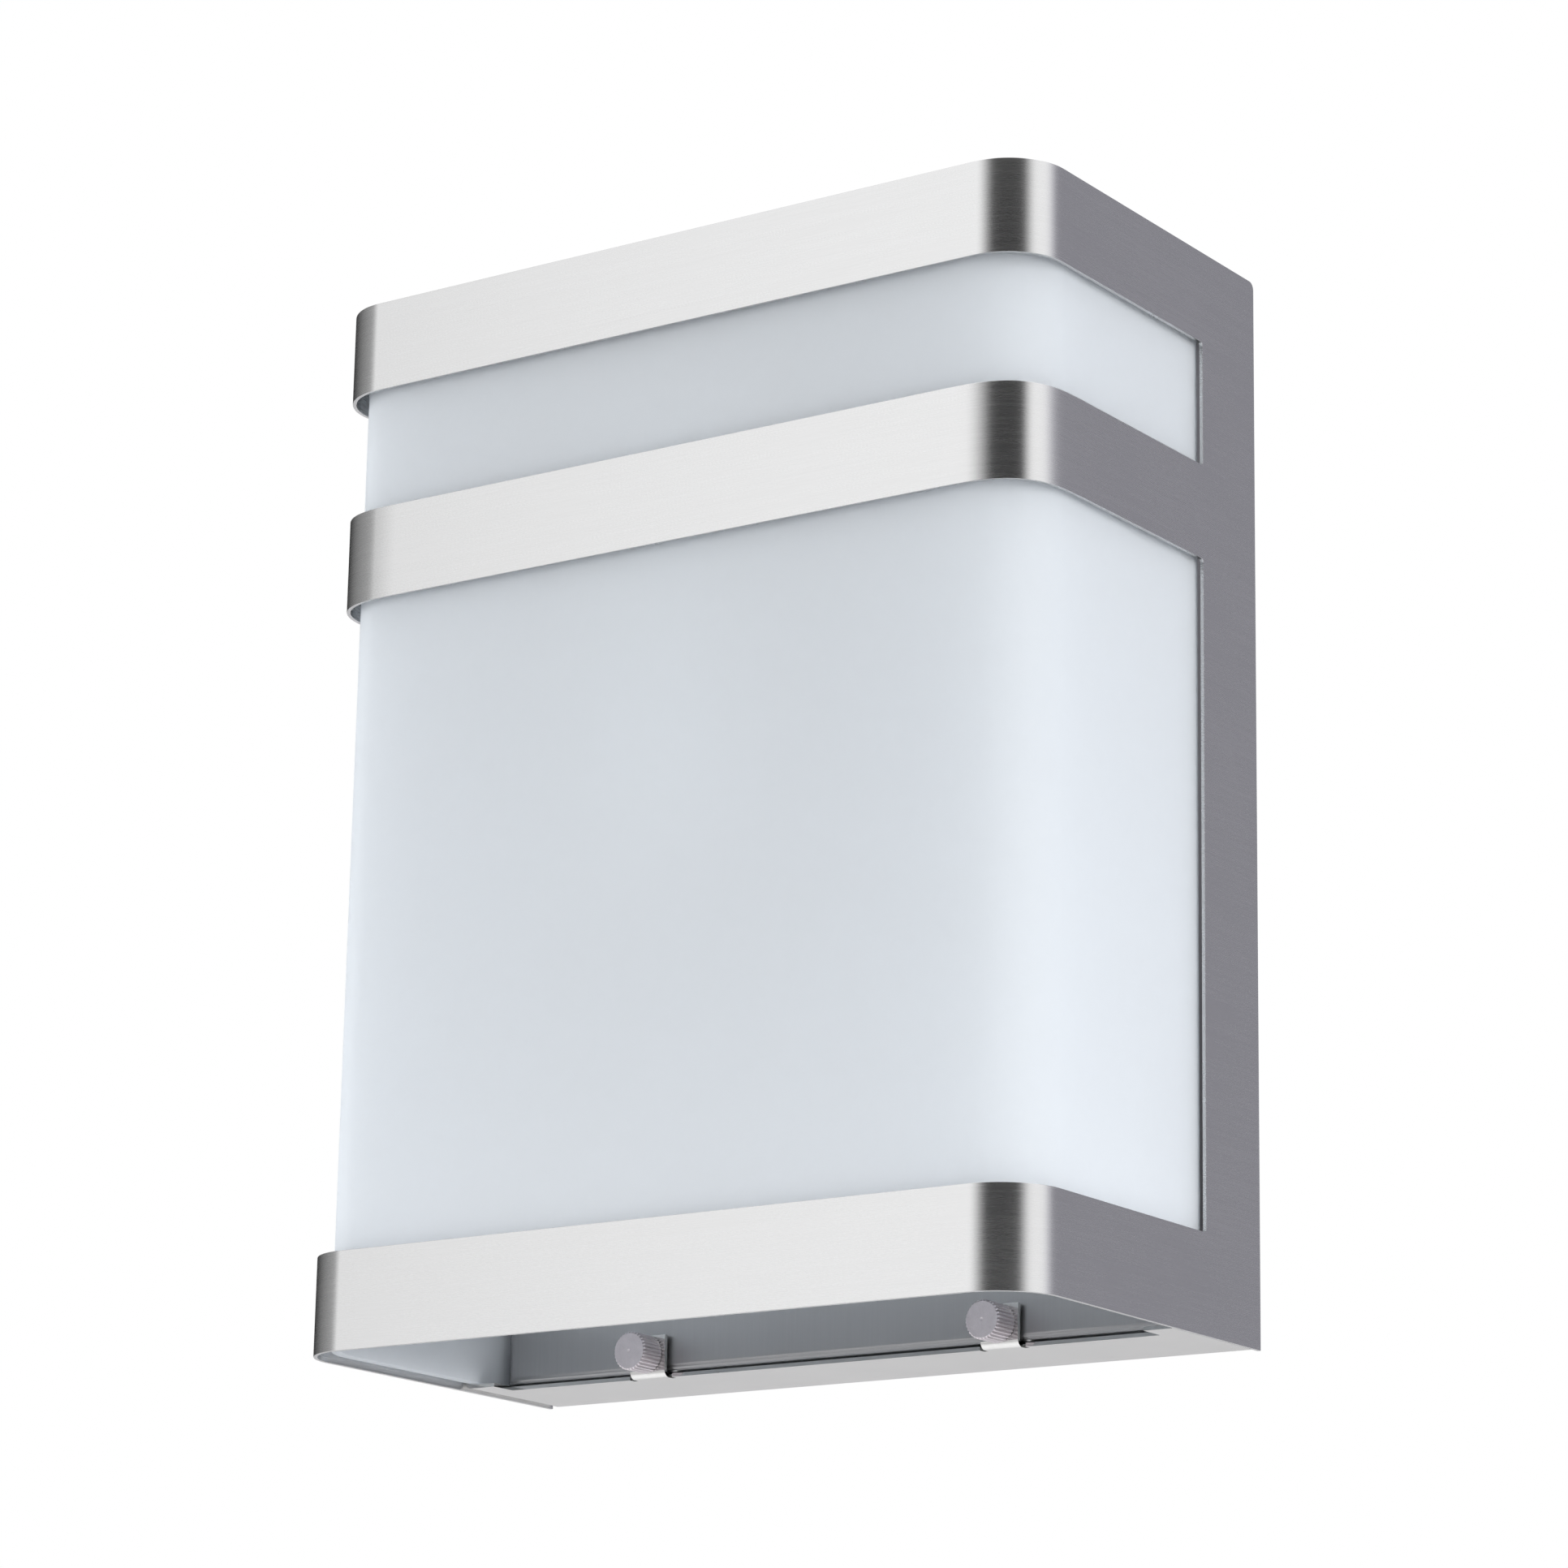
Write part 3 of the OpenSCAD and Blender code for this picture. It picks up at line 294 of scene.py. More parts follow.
@dataclass(frozen=True)
class Finish:
    """A finish, named for what it is on the lantern."""

    name: str
    colour: Colour
    shared_slot: str = field(default="", kw_only=True)

    @property
    def slot(self) -> str:
        """Gives its slot's name, which is its own name unless it shares a slot."""
        return self.shared_slot or self.name

    def toned(self, graph: Graph, low: float, high: float, share: Wire) -> Wire:
        """Gives the finish's colour between two of its tones, by a share."""
        return graph.blend(shade_of(self.colour, low), shade_of(self.colour, high), share)

    def surface(self, graph: Graph) -> Surface:
        """Gives the finish's surface. Each kind of finish has its own.

        Args:
            graph: its material's graph.

        Returns:
            The surface.
        """
        raise NotImplementedError

    def material(self) -> bpy.types.Material:
        """Gives the finish's material, made the first time that it is asked for.

        Returns:
            The material.
        """
        label = f"{self.name}_finish"
        made = bpy.data.materials.get(label)
        if made:
            return made
        material = bpy.data.materials.new(label)
        material.use_nodes = True
        material.diffuse_color = (*self.colour, 1.0)
        graph = Graph(material.node_tree)
        shader = material.node_tree.nodes["Principled BSDF"]
        surface = self.surface(graph)
        graph.set_socket(shader.inputs["Base Color"], surface.colour)
        graph.set_socket(shader.inputs["Roughness"], surface.roughness)
        if surface.coat:
            graph.set_socket(shader.inputs["Coat Weight"], surface.coat)
        for name, value in surface.constants.items():
            shader.inputs[name].default_value = value
        if surface.height:
            values = {"Strength": 1.0, "Distance": surface.depth * MM, "Height": surface.height}
            bump = graph.add("ShaderNodeBump", values=values)
            graph.set_socket(shader.inputs["Normal"], bump)
        if surface.through:
            body = Wire(graph, shader.outputs["BSDF"])
            glow = graph.add("ShaderNodeBsdfTranslucent", values={"Color": surface.colour})
            both = graph.add("ShaderNodeMixShader", values={0: surface.through, 1: body, 2: glow})
            graph.set_socket(material.node_tree.nodes["Material Output"].inputs["Surface"], both)
        return material


def shade_of(colour: Colour, factor: float) -> Colour:
    """Gives a colour made lighter or darker by a factor."""
    return tuple(min(1.0, channel * factor) for channel in colour)


class Grain(Enum):
    """Which way a brushed sheet's lines run."""

    ROUND = (0.012, 0.012, 1.0)
    UPRIGHT = (1.0, 1.0, 0.012)
    CROSS = (0.012, 1.0, 1.0)


@dataclass(frozen=True)
class BrushedMetal(Finish):
    """Sheet metal with fine parallel brush lines. A rate is how many features are in a millimetre."""

    grain: Grain = Grain.ROUND
    roughness: float = 0.27
    pitch: float = 0.16
    contrast: float = 0.035
    relief: float = 0.0005
    stretch: float = 0.45
    turned: float = 0.25
    broad_share: float = 0.35
    broad_width: float = 0.18
    cloud_rate: float = 0.03
    scuff_rate: float = 0.4
    scuff_width: float = 3.0
    scuff_from: Pair = (0.68, 0.8)
    speck_rate: float = 2.2
    speck_from: Pair = (0.7, 0.76)

    def surface(self, graph: Graph) -> Surface:
        """Gives fine lines over broader, fainter streaks, with a few scuffs.

        Args:
            graph: its material's graph.

        Returns:
            The surface.
        """
        along = graph.place(self.grain.value)
        fine = graph.noise(along, 1 / self.pitch, 3)
        broad = graph.noise(along, self.broad_width / self.pitch)
        cloud = graph.noise(graph.place(), self.cloud_rate)
        lines = fine.mixed(broad, self.broad_share)
        scuffed = graph.place(tuple(self.scuff_width * axis for axis in self.grain.value))
        scuff = graph.noise(scuffed, self.scuff_rate, 4).rise(*self.scuff_from)
        speck = graph.noise(graph.place(), self.speck_rate, 1).rise(*self.speck_from)
        share = lines.swing(1.6) + 0.5 + cloud.swing(0.4) - speck * 0.6
        colour = self.toned(graph, 1 - self.contrast, 1 + self.contrast, share.rise(0, 1))
        roughness = self.roughness + lines.swing(0.08) + cloud.swing(0.04) + scuff * 0.03
        constants = {"Metallic": 1.0, "Anisotropic": self.stretch, "Anisotropic Rotation": self.turned}
        return Surface(colour, roughness, lines, self.relief, constants=constants)


@dataclass(frozen=True)
class BrightMetal(Finish):
    """Smooth sheet or plated metal, with faint rolling marks and fingerprints."""

    roughness: float = 0.12
    mottle: float = 0.06
    relief: float = 0.001
    cloud_rate: float = 0.06
    spot_rate: float = 0.9
    hair_rate: float = 2.5
    hair_stretch: float = 0.02

    def surface(self, graph: Graph) -> Surface:
        """Gives a smooth metal with faint mottling and hairlines.

        Args:
            graph: its material's graph.

        Returns:
            The surface.
        """
        here = graph.place()
        cloud = graph.noise(here, self.cloud_rate, 3)
        spots = graph.noise(here, self.spot_rate, 4)
        hair = graph.noise(graph.place((self.hair_stretch, 1, 1)), self.hair_rate, 3)
        share = cloud.mixed(spots, 0.4).swing(1.8) + 0.5
        colour = self.toned(graph, 1 - self.mottle, 1 + self.mottle, share.rise(0, 1))
        roughness = self.roughness + spots.swing(0.08) + hair.swing(0.05)
        return Surface(colour, roughness, hair, self.relief, constants={"Metallic": 1.0})


@dataclass(frozen=True)
class TurnedMetal(Finish):
    """Metal with the fine rings of a lathe, round an axis along Y on both sides of the middle."""

    centre: Pair = (0.0, 0.0)
    roughness: float = 0.3
    pitch: float = 0.22
    relief: float = 0.004
    metallic: float = 0.6
    wander: float = 3.0
    wander_rate: float = 1.1
    grit_rate: float = 4.0
    stain_rate: float = 0.45

    def surface(self, graph: Graph) -> Surface:
        """Gives rings round the axis, darker in their hollows, with grit and stains.

        Args:
            graph: its material's graph.

        Returns:
            The surface.
        """
        side, _, up = graph.axes(graph.place())
        across = side.size() - self.centre[0]
        above = up - self.centre[1]
        reach = graph.maths("SQRT", across * across + above * above)
        wander = graph.noise(graph.place(), self.wander_rate) * self.wander
        rings = (reach * (FULL_TURN / self.pitch) + wander).sine() * 0.5 + 0.5
        grit = graph.noise(graph.place(), self.grit_rate, 4)
        stain = graph.noise(graph.place(), self.stain_rate, 3)
        share = rings * 0.3 + grit * 0.35 + stain * 0.35
        colour = self.toned(graph, 0.86, 1.12, share.rise(0.25, 0.75))
        roughness = self.roughness + grit.swing(0.14) + stain.swing(0.1)
        height = rings.mixed(grit, 0.3)
        return Surface(colour, roughness, height, self.relief, constants={"Metallic": self.metallic})


@dataclass(frozen=True)
class OpalSheet(Finish):
    """Opal acrylic with a soft gloss, which lets a share of the light through."""

    roughness: float = 0.34
    share_through: float = 0.62
    relief: float = 0.004
    cloud_rate: float = 0.02
    flow_rate: float = 0.25

    def surface(self, graph: Graph) -> Surface:
        """Gives a faintly clouded body, with a nearly even gloss, that glows with the light behind it.

        Args:
            graph: its material's graph.

        Returns:
            The surface.
        """
        here = graph.place()
        cloud = graph.noise(here, self.cloud_rate)
        flow = graph.noise(here, self.flow_rate, 3)
        colour = self.toned(graph, 0.985, 1, cloud.mixed(flow, 0.3).rise(0.3, 0.7))
        roughness = self.roughness + flow.swing(0.05)
        through = self.share_through + cloud.swing(0.04)
        return Surface(colour, roughness, flow, self.relief, through=through, constants={"IOR": 1.49})


@dataclass(frozen=True)
class Mottled(Finish):
    """A finish with a broad pattern and a fine one in its colour, its roughness and its relief."""

    roughness: float = 0.45
    wear: float = 0.08
    lightest: float = 1.0
    relief: float = 0.01
    metallic: float = 0.0
    fine_rate: float = 3.0
    fine_detail: float = 3.0
    fine_share: float = 0.3
    fine_swing: float = 0.16
    broad_rate: float = 0.12
    broad_swing: float = 0.1

    def surface(self, graph: Graph) -> Surface:
        """Gives a mottled surface, with the fine pattern as its relief.

        Args:
            graph: its material's graph.

        Returns:
            The surface.
        """
        fine = graph.noise(graph.place(), self.fine_rate, self.fine_detail)
        broad = graph.noise(graph.place(), self.broad_rate, 3)
        share = broad.mixed(fine, self.fine_share).rise(0.3, 0.7)
        colour = self.toned(graph, 1 - self.wear, self.lightest, share)
        roughness = self.roughness + fine.swing(self.fine_swing) + broad.swing(self.broad_swing)
        return Surface(colour, roughness, fine, self.relief, constants={"Metallic": self.metallic})


@dataclass(frozen=True)
class Moulded(Mottled):
    """Moulded plastic or rubber with a fine grain."""


@dataclass(frozen=True)
class Threaded(Mottled):
    """Plated screw steel or brass, dulled in patches."""

    roughness: float = 0.28
    wear: float = 0.16
    lightest: float = 1.06
    relief: float = 0.006
    metallic: float = 1.0
    fine_rate: float = 1.3
    fine_detail: float = 4.0
    fine_share: float = 0.5
    fine_swing: float = 0.12
    broad_rate: float = 0.25
    broad_swing: float = 0.25


@dataclass(frozen=True)
class Foam(Finish):
    """Closed-cell foam or soft pad, with a skin of fine cells."""

    cell: float = 0.6
    roughness: float = 0.78
    relief: float = 0.08
    cloud_rate: float = 0.3

    def surface(self, graph: Graph) -> Surface:
        """Gives small cells over a dull body.

        Args:
            graph: its material's graph.

        Returns:
            The surface.
        """
        here = graph.place()
        cells = graph.cells(here, 1 / self.cell)
        cloud = graph.noise(here, self.cloud_rate, 3)
        colour = self.toned(graph, 0.7, 1, cells.mixed(cloud, 0.3).rise(0.1, 0.6))
        return Surface(colour, self.roughness + cloud.swing(0.2), cells, self.relief)


@dataclass(frozen=True)
class Glazed(Finish):
    """Glazed porcelain or black glass, a body under a clear glaze."""

    roughness: float = 0.18
    glaze: float = 0.6
    relief: float = 0.05
    wave_rate: float = 0.15
    speck_rate: float = 1.6

    def surface(self, graph: Graph) -> Surface:
        """Gives a slightly wavy glaze with rare specks.

        Args:
            graph: its material's graph.

        Returns:
            The surface.
        """
        here = graph.place()
        wave = graph.noise(here, self.wave_rate)
        specks = graph.noise(here, self.speck_rate).rise(0.7, 0.78)
        colour = self.toned(graph, 1, 0.6, specks * 0.5)
        roughness = self.roughness + wave.swing(0.12)
        return Surface(colour, roughness, wave, self.relief, coat=self.glaze + wave.swing(0.4))


@dataclass(frozen=True)
class Board(Finish):
    """The light engine's white solder mask, with its emitters' yellow phosphor in a ring."""

    centre_y: float = -67.5
    ring: float = 17.0
    dot_reach: Pair = (2.2, 1.8)
    count: int = 12
    phosphor: Colour = (0.75, 0.6, 0.08)
    roughness: float = 0.35
    relief: float = 0.05
    grain_rate: float = 2.5

    def surface(self, graph: Graph) -> Surface:
        """Gives a white board with a ring of yellow dots.

        Args:
            graph: its material's graph.

        Returns:
            The surface.
        """
        side, deep, _ = graph.axes(graph.place(shift=(0, -self.centre_y, 0)))
        reach = graph.maths("SQRT", side * side + deep * deep)
        angle = graph.maths("ARCTAN2", deep, side)
        on_ring = (reach - self.ring).size().rise(*self.dot_reach)
        dots = on_ring * (angle * self.count).sine().rise(0.55, 0.65)
        grain = graph.noise(graph.place(), self.grain_rate, 3)
        colour = graph.blend(self.toned(graph, 0.93, 1, grain), self.phosphor, dots)
        return Surface(colour, self.roughness + grain * 0.15, dots + grain * 0.1, self.relief)


@dataclass(frozen=True)
class PlainFloor(Finish):
    """The studio floor, matt and hardly clouded."""

    lightest: float = 1.0375
    roughness: float = 0.7
    cloud_rate: float = 0.004

    def surface(self, graph: Graph) -> Surface:
        """Gives an even surface."""
        cloud = graph.noise(graph.place(), self.cloud_rate)
        return Surface(self.toned(graph, 1, self.lightest, cloud), self.roughness)


def insulation(name: str, colour: Colour, wear: float) -> Moulded:
    """Gives the finish of a lead's insulation."""
    return Moulded(name, colour, roughness=0.4, fine_rate=5.0, relief=0.006, wear=wear)


STAINLESS = (0.63, 0.63, 0.632)
KNOB_AXIS = (54.0, -133.5)

BRUSHED_STAINLESS = BrushedMetal("brushed_stainless", STAINLESS)
FLAT_STAINLESS = BrushedMetal(
    "flat_stainless", STAINLESS, Grain.CROSS, stretch=0.0, shared_slot=BRUSHED_STAINLESS.slot
)
BRIGHT_STAINLESS = BrightMetal("bright_stainless", (0.66, 0.655, 0.64), roughness=0.09)
PAN_STEEL = BrushedMetal("pan_steel", (0.42, 0.42, 0.425), Grain.UPRIGHT, roughness=0.36, turned=0.0)
ZINC_STEEL = BrightMetal("zinc_steel", (0.56, 0.57, 0.58), roughness=0.3, mottle=0.14, relief=0.004)
KNOB_STEEL = TurnedMetal("knob_steel", (0.6, 0.56, 0.585), KNOB_AXIS, roughness=0.32)
THREAD_STEEL = Threaded("thread_steel", (0.52, 0.52, 0.52))
BRASS = Threaded("brass", (0.72, 0.52, 0.24), roughness=0.26)
NICKEL_BRASS = Threaded("nickel_brass", (0.66, 0.63, 0.56), roughness=0.2, wear=0.1)
OPAL_ACRYLIC = OpalSheet("opal_acrylic", (0.877, 0.9, 0.922))
OPAL_GLOBE = OpalSheet("opal_globe", (0.86, 0.86, 0.85), roughness=0.42, share_through=0.4)
WHITE_PLASTIC = Moulded("white_plastic", (0.8, 0.8, 0.78), roughness=0.38)
NYLON = Moulded("nylon", (0.74, 0.73, 0.68), roughness=0.5, fine_rate=2.0)
PORCELAIN = Glazed("porcelain", (0.83, 0.82, 0.79))
BLACK_GLASS = Glazed("black_glass", (0.012, 0.012, 0.016), roughness=0.1)
LED_BOARD = Board("led_board", (0.82, 0.82, 0.82))
BLACK_RUBBER = Moulded(
    "black_rubber", (0.02, 0.02, 0.021), roughness=0.7, fine_rate=4.0, relief=0.02, wear=0.3
)
FOAM = Foam("foam", (0.03, 0.03, 0.032))
SILICONE = Foam("silicone", (0.62, 0.62, 0.62), cell=0.25)
BLACK_INSULATION = insulation("black_insulation", (0.018, 0.018, 0.02), wear=0.2)
WHITE_INSULATION = insulation("white_insulation", (0.78, 0.78, 0.76), wear=0.08)
GREEN_INSULATION = insulation("green_insulation", (0.03, 0.22, 0.06), wear=0.2)
GREEN_STEEL = Threaded("green_steel", (0.1, 0.36, 0.14), roughness=0.3)
PALE_FLOOR = PlainFloor("pale_floor", (0.8, 0.8, 0.8))


# Workshop: how meshes are made

CREASE_ANGLE = math.radians(40)
FLAT_ANGLE = math.radians(0.4)
CUT_REACH = WELD / 10
CURVE_ROOM = 2.01
WAVE_STEPS = 8
FIRST_TURNS = 1.5
SPARE_TURNS = 2


def box_mm(node: str) -> tuple[Vector, Vector]:
    """Gives the lowest and highest corners of a CAD node, in millimetres."""
    low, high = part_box(node)
    return Vector(low) / MM, Vector(high) / MM


def round_node(node: str, axis: Vector) -> tuple[Vector, float, float]:
    """Gives the place and size of a round CAD node.

    Args:
        node: the node.
        axis: which way it runs, along Y or Z.

    Returns:
        The middle of its first end, its radius and its length, in millimetres.
    """
    low, high = box_mm(node)
    size = high - low
    length = abs(size.dot(axis))
    radius = (size.x if axis.z else size.z) / 2
    return (low + high - axis * length) / 2, radius, length


def edges_where(mesh: Mesh, test: Callable[[Edge], bool]) -> list[Edge]:
    """Gives the edges of a mesh that pass a test."""
    return [edge for edge in mesh.edges if test(edge)]


def is_crease(edge: Edge) -> bool:
    """Says whether an edge turns by more than the crease angle."""
    return len(edge.link_faces) == 2 and edge.calc_face_angle(0.0) > CREASE_ANGLE


def round_edges(mesh: Mesh, edges: list[Edge], width: float, segments: int, clamped: bool = False) -> None:
    """Rounds edges of a closed mesh.

    Args:
        mesh: the mesh.
        edges: the edges.
        width: how far from an edge the rounding starts, in millimetres.
        segments: how many faces it has.
        clamped: whether it stops where it would run into itself.
    """
    bmesh.ops.bevel(
        mesh, geom=edges, offset=width, offset_type="OFFSET", segments=segments, profile=0.5,
        affect="EDGES", clamp_overlap=clamped, material=-1,
    )


def ease_creases(mesh: Mesh, width: float, segments: int = 2) -> None:
    """Rounds every crease of a closed mesh."""
    round_edges(mesh, edges_where(mesh, is_crease), width, segments, clamped=True)


def cut_at(mesh: Mesh, place: Vector, normal: Vector, drop: bool = False) -> None:
    """Cuts a mesh along a plane, and drops what lies on the normal's side if asked.

    Args:
        mesh: the mesh.
        place: a point on the plane.
        normal: the plane's normal.
        drop: whether the normal's side is dropped.
    """
    geometry = mesh.verts[:] + mesh.edges[:] + mesh.faces[:]
    bmesh.ops.bisect_plane(
        mesh, geom=geometry, dist=CUT_REACH, plane_co=place, plane_no=normal, clear_outer=drop
    )


class Strip:
    """A sheet drawn out from one edge and folded, before it has its thickness."""

    def __init__(self, start: Vector, across: Vector) -> None:
        """Starts with one edge.

        Args:
            start: one end of the edge.
            across: from that end to the other.
        """
        self.mesh = bmesh.new()
        first = self.mesh.verts.new(start)
        pulled = bmesh.ops.extrude_vert_indiv(self.mesh, verts=[first])
        bmesh.ops.translate(self.mesh, vec=across, verts=pulled["verts"])
        self.edge = pulled["edges"][0]

    def draw(self, step: Vector) -> None:
        """Draws the sheet straight on.

        Args:
            step: how far, and which way.
        """
        pulled = bmesh.ops.extrude_edge_only(self.mesh, edges=[self.edge])["geom"]
        ends = [item for item in pulled if isinstance(item, Vert)]
        edges = [item for item in pulled if isinstance(item, Edge)]
        self.edge = next(edge for edge in edges if set(edge.verts) == set(ends))
        bmesh.ops.translate(self.mesh, vec=step, verts=ends)

    def fold(self, centre: Vector, axis: Vector, angle: float, steps: int) -> None:
        """Bends the sheet round an axis.

        Args:
            centre: a point on the axis.
            axis: the axis.
            angle: how far the sheet turns, in radians.
            steps: how many faces the bend has.
        """
        turned = bmesh.ops.spin(
            self.mesh, geom=[self.edge], cent=centre, axis=axis, angle=angle, steps=steps
        )["geom_last"]
        self.edge = next(item for item in turned if isinstance(item, Edge))

    def thicken(self, thickness: float) -> Mesh:
        """Gives the sheet its thickness, inwards from the faces that were drawn.

        Args:
            thickness: the thickness in millimetres.

        Returns:
            The closed mesh.
        """
        bmesh.ops.remove_doubles(self.mesh, verts=self.mesh.verts[:], dist=WELD)
        bmesh.ops.solidify(self.mesh, geom=self.mesh.faces[:], thickness=-thickness)
        bmesh.ops.recalc_face_normals(self.mesh, faces=self.mesh.faces[:])
        return self.mesh


def turned_mesh(
    outline: Sequence[Pair], centre: Vector, axis: Vector, steps: int = 64, lead: float = 0.0
) -> Mesh:
    """Spins an outline round an axis, or along a screw's helix.

    Args:
        outline: each point's distance from the axis, and its place along it.
        centre: the point on the axis that places are counted from.
        axis: the axis, along Y or Z.
        steps: how many faces go round.
        lead: how far a turn moves along the axis, in millimetres.

    Returns:
        The mesh.
    """
    mesh = bmesh.new()
    point = mesh.verts.new(centre + ALONG_X * outline[0][0] + axis * outline[0][1])
    chain = [point]
    for reach, along in outline[1:]:
        pulled = bmesh.ops.extrude_vert_indiv(mesh, verts=[point])
        point = pulled["verts"][0]
        point.co = centre + ALONG_X * reach + axis * along
        chain += [point, pulled["edges"][0]]
    bmesh.ops.spin(
        mesh, geom=chain, cent=centre, axis=axis, dvec=axis * (lead / steps), angle=FULL_TURN,
        steps=steps, use_merge=lead == 0.0,
    )
    bmesh.ops.remove_doubles(mesh, verts=mesh.verts[:], dist=WELD)
    bmesh.ops.recalc_face_normals(mesh, faces=mesh.faces[:])
    return mesh


class ThreadForm(Enum):
    """One turn of a thread: each point's place along the pitch, and its share of the depth."""

    FLAT_CREST = ((0.0, 0.0), (0.2, 0.0), (0.55, 1.0), (0.65, 1.0))
    WAVE = tuple(
        (step / WAVE_STEPS, 0.5 - 0.5 * math.cos(step / WAVE_STEPS * FULL_TURN)) for step in range(WAVE_STEPS)
    )


def threaded_mesh(
    start: Vector,
    axis: Vector,
    length: float,
    radius: float,
    pitch: float,
    depth: float,
    form: ThreadForm = ThreadForm.FLAT_CREST,
    steps: int = 32,
) -> Mesh:
    """Makes a threaded rod, spun along its helix and cut square at both ends.

    Args:
        start: the middle of its first end.
        axis: which way it runs.
        length: how long it is.
        radius: its radius over the thread.
        pitch: the thread's pitch.
        depth: the thread's depth.
        form: the thread's form.
        steps: how many faces go round.

    Returns:
        The closed mesh.
    """
    root = radius - depth
    turns = math.ceil(length / pitch) + SPARE_TURNS
    outline = [
        (root + depth * rise, (turn + share - FIRST_TURNS) * pitch)
        for turn in range(turns)
        for share, rise in form.value
    ]
    mesh = turned_mesh(outline, start, axis, steps, lead=pitch)
    cut_at(mesh, start, -axis, drop=True)
    cut_at(mesh, start + axis * length, axis, drop=True)
    bmesh.ops.holes_fill(mesh, edges=edges_where(mesh, lambda edge: edge.is_boundary), sides=0)
    bmesh.ops.recalc_face_normals(mesh, faces=mesh.faces[:])
    return mesh


def smooth_outline(corners: Sequence[Pair], radius: float, steps: int = 5) -> list[Pair]:
    """Rounds the inner corners of an outline with a curve.

    Args:
        corners: the outline's corners.
        radius: how far from a corner the curve starts, where its neighbours leave room.
        steps: how many straight pieces it has.

    Returns:
        The rounded outline.
    """
    rounded = [corners[0]]
    for before, here, after in zip(corners, corners[1:], corners[2:]):
        corner = Vector(here)
        back = Vector(before) - corner
        on = Vector(after) - corner
        reach = min(radius, back.length / CURVE_ROOM, on.length / CURVE_ROOM)
        start = corner + back.normalized() * reach
        end = corner + on.normalized() * reach
        for step in range(steps + 1):
            share = step / steps
            near = start.lerp(corner, share)
            far = corner.lerp(end, share)
            rounded.append(tuple(near.lerp(far, share)))
    return rounded + [corners[-1]]


def finish_piece(mesh: Mesh, name: str, finish: Finish, node: str, smooth: float = 35.0) -> bpy.types.Object:
    """Makes a mesh a piece of the lantern, in metres.

    Args:
        mesh: the mesh in millimetres, which is used up.
        name: the piece's name.
        finish: its finish.
        node: the CAD node that it replaces, whose body it rides on.
        smooth: up to what angle, in degrees, its faces are shaded as one.

    Returns:
        The piece.
    """
    bmesh.ops.scale(mesh, vec=Vector((MM, MM, MM)), verts=mesh.verts[:])
    data = bpy.data.meshes.new(name)
    mesh.to_mesh(data)
    mesh.free()
    data.materials.append(finish.material())
    data.shade_smooth()
    data.set_sharp_from_angle(angle=math.radians(smooth))
    piece = bpy.data.objects.new(name, data)
    bpy.context.scene.collection.objects.link(piece)
    weights = piece.modifiers.new("even_shading", "WEIGHTED_NORMAL")
    weights.keep_sharp = True
    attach(piece, body_of(frame["nodes"][node])[0])
    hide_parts(node)
    return piece


def node_mesh(node: str) -> Mesh:
    """Gives a merged copy of a CAD node's mesh, in millimetres, with its flat faces whole.

    Args:
        node: the node.

    Returns:
        The copy.
    """
    mesh = bmesh.new()
    mesh.from_mesh(frame["nodes"][node].data)
    bmesh.ops.scale(mesh, vec=Vector((1, 1, 1)) / MM, verts=mesh.verts[:])
    bmesh.ops.remove_doubles(mesh, verts=mesh.verts[:], dist=WELD)
    bmesh.ops.dissolve_limit(mesh, angle_limit=FLAT_ANGLE, verts=mesh.verts[:], edges=mesh.edges[:])
    return mesh


def dress(*pieces: tuple[str, Finish, float]) -> None:
    """Makes pieces from CAD nodes with their creases rounded.

    Args:
        pieces: each piece's node, finish and width of rounding, in millimetres.
    """
    for node, finish, width in pieces:
        mesh = node_mesh(node)
        ease_creases(mesh, width)
        finish_piece(mesh, f"{node}_piece", finish, node)


# The lantern's sub-assemblies


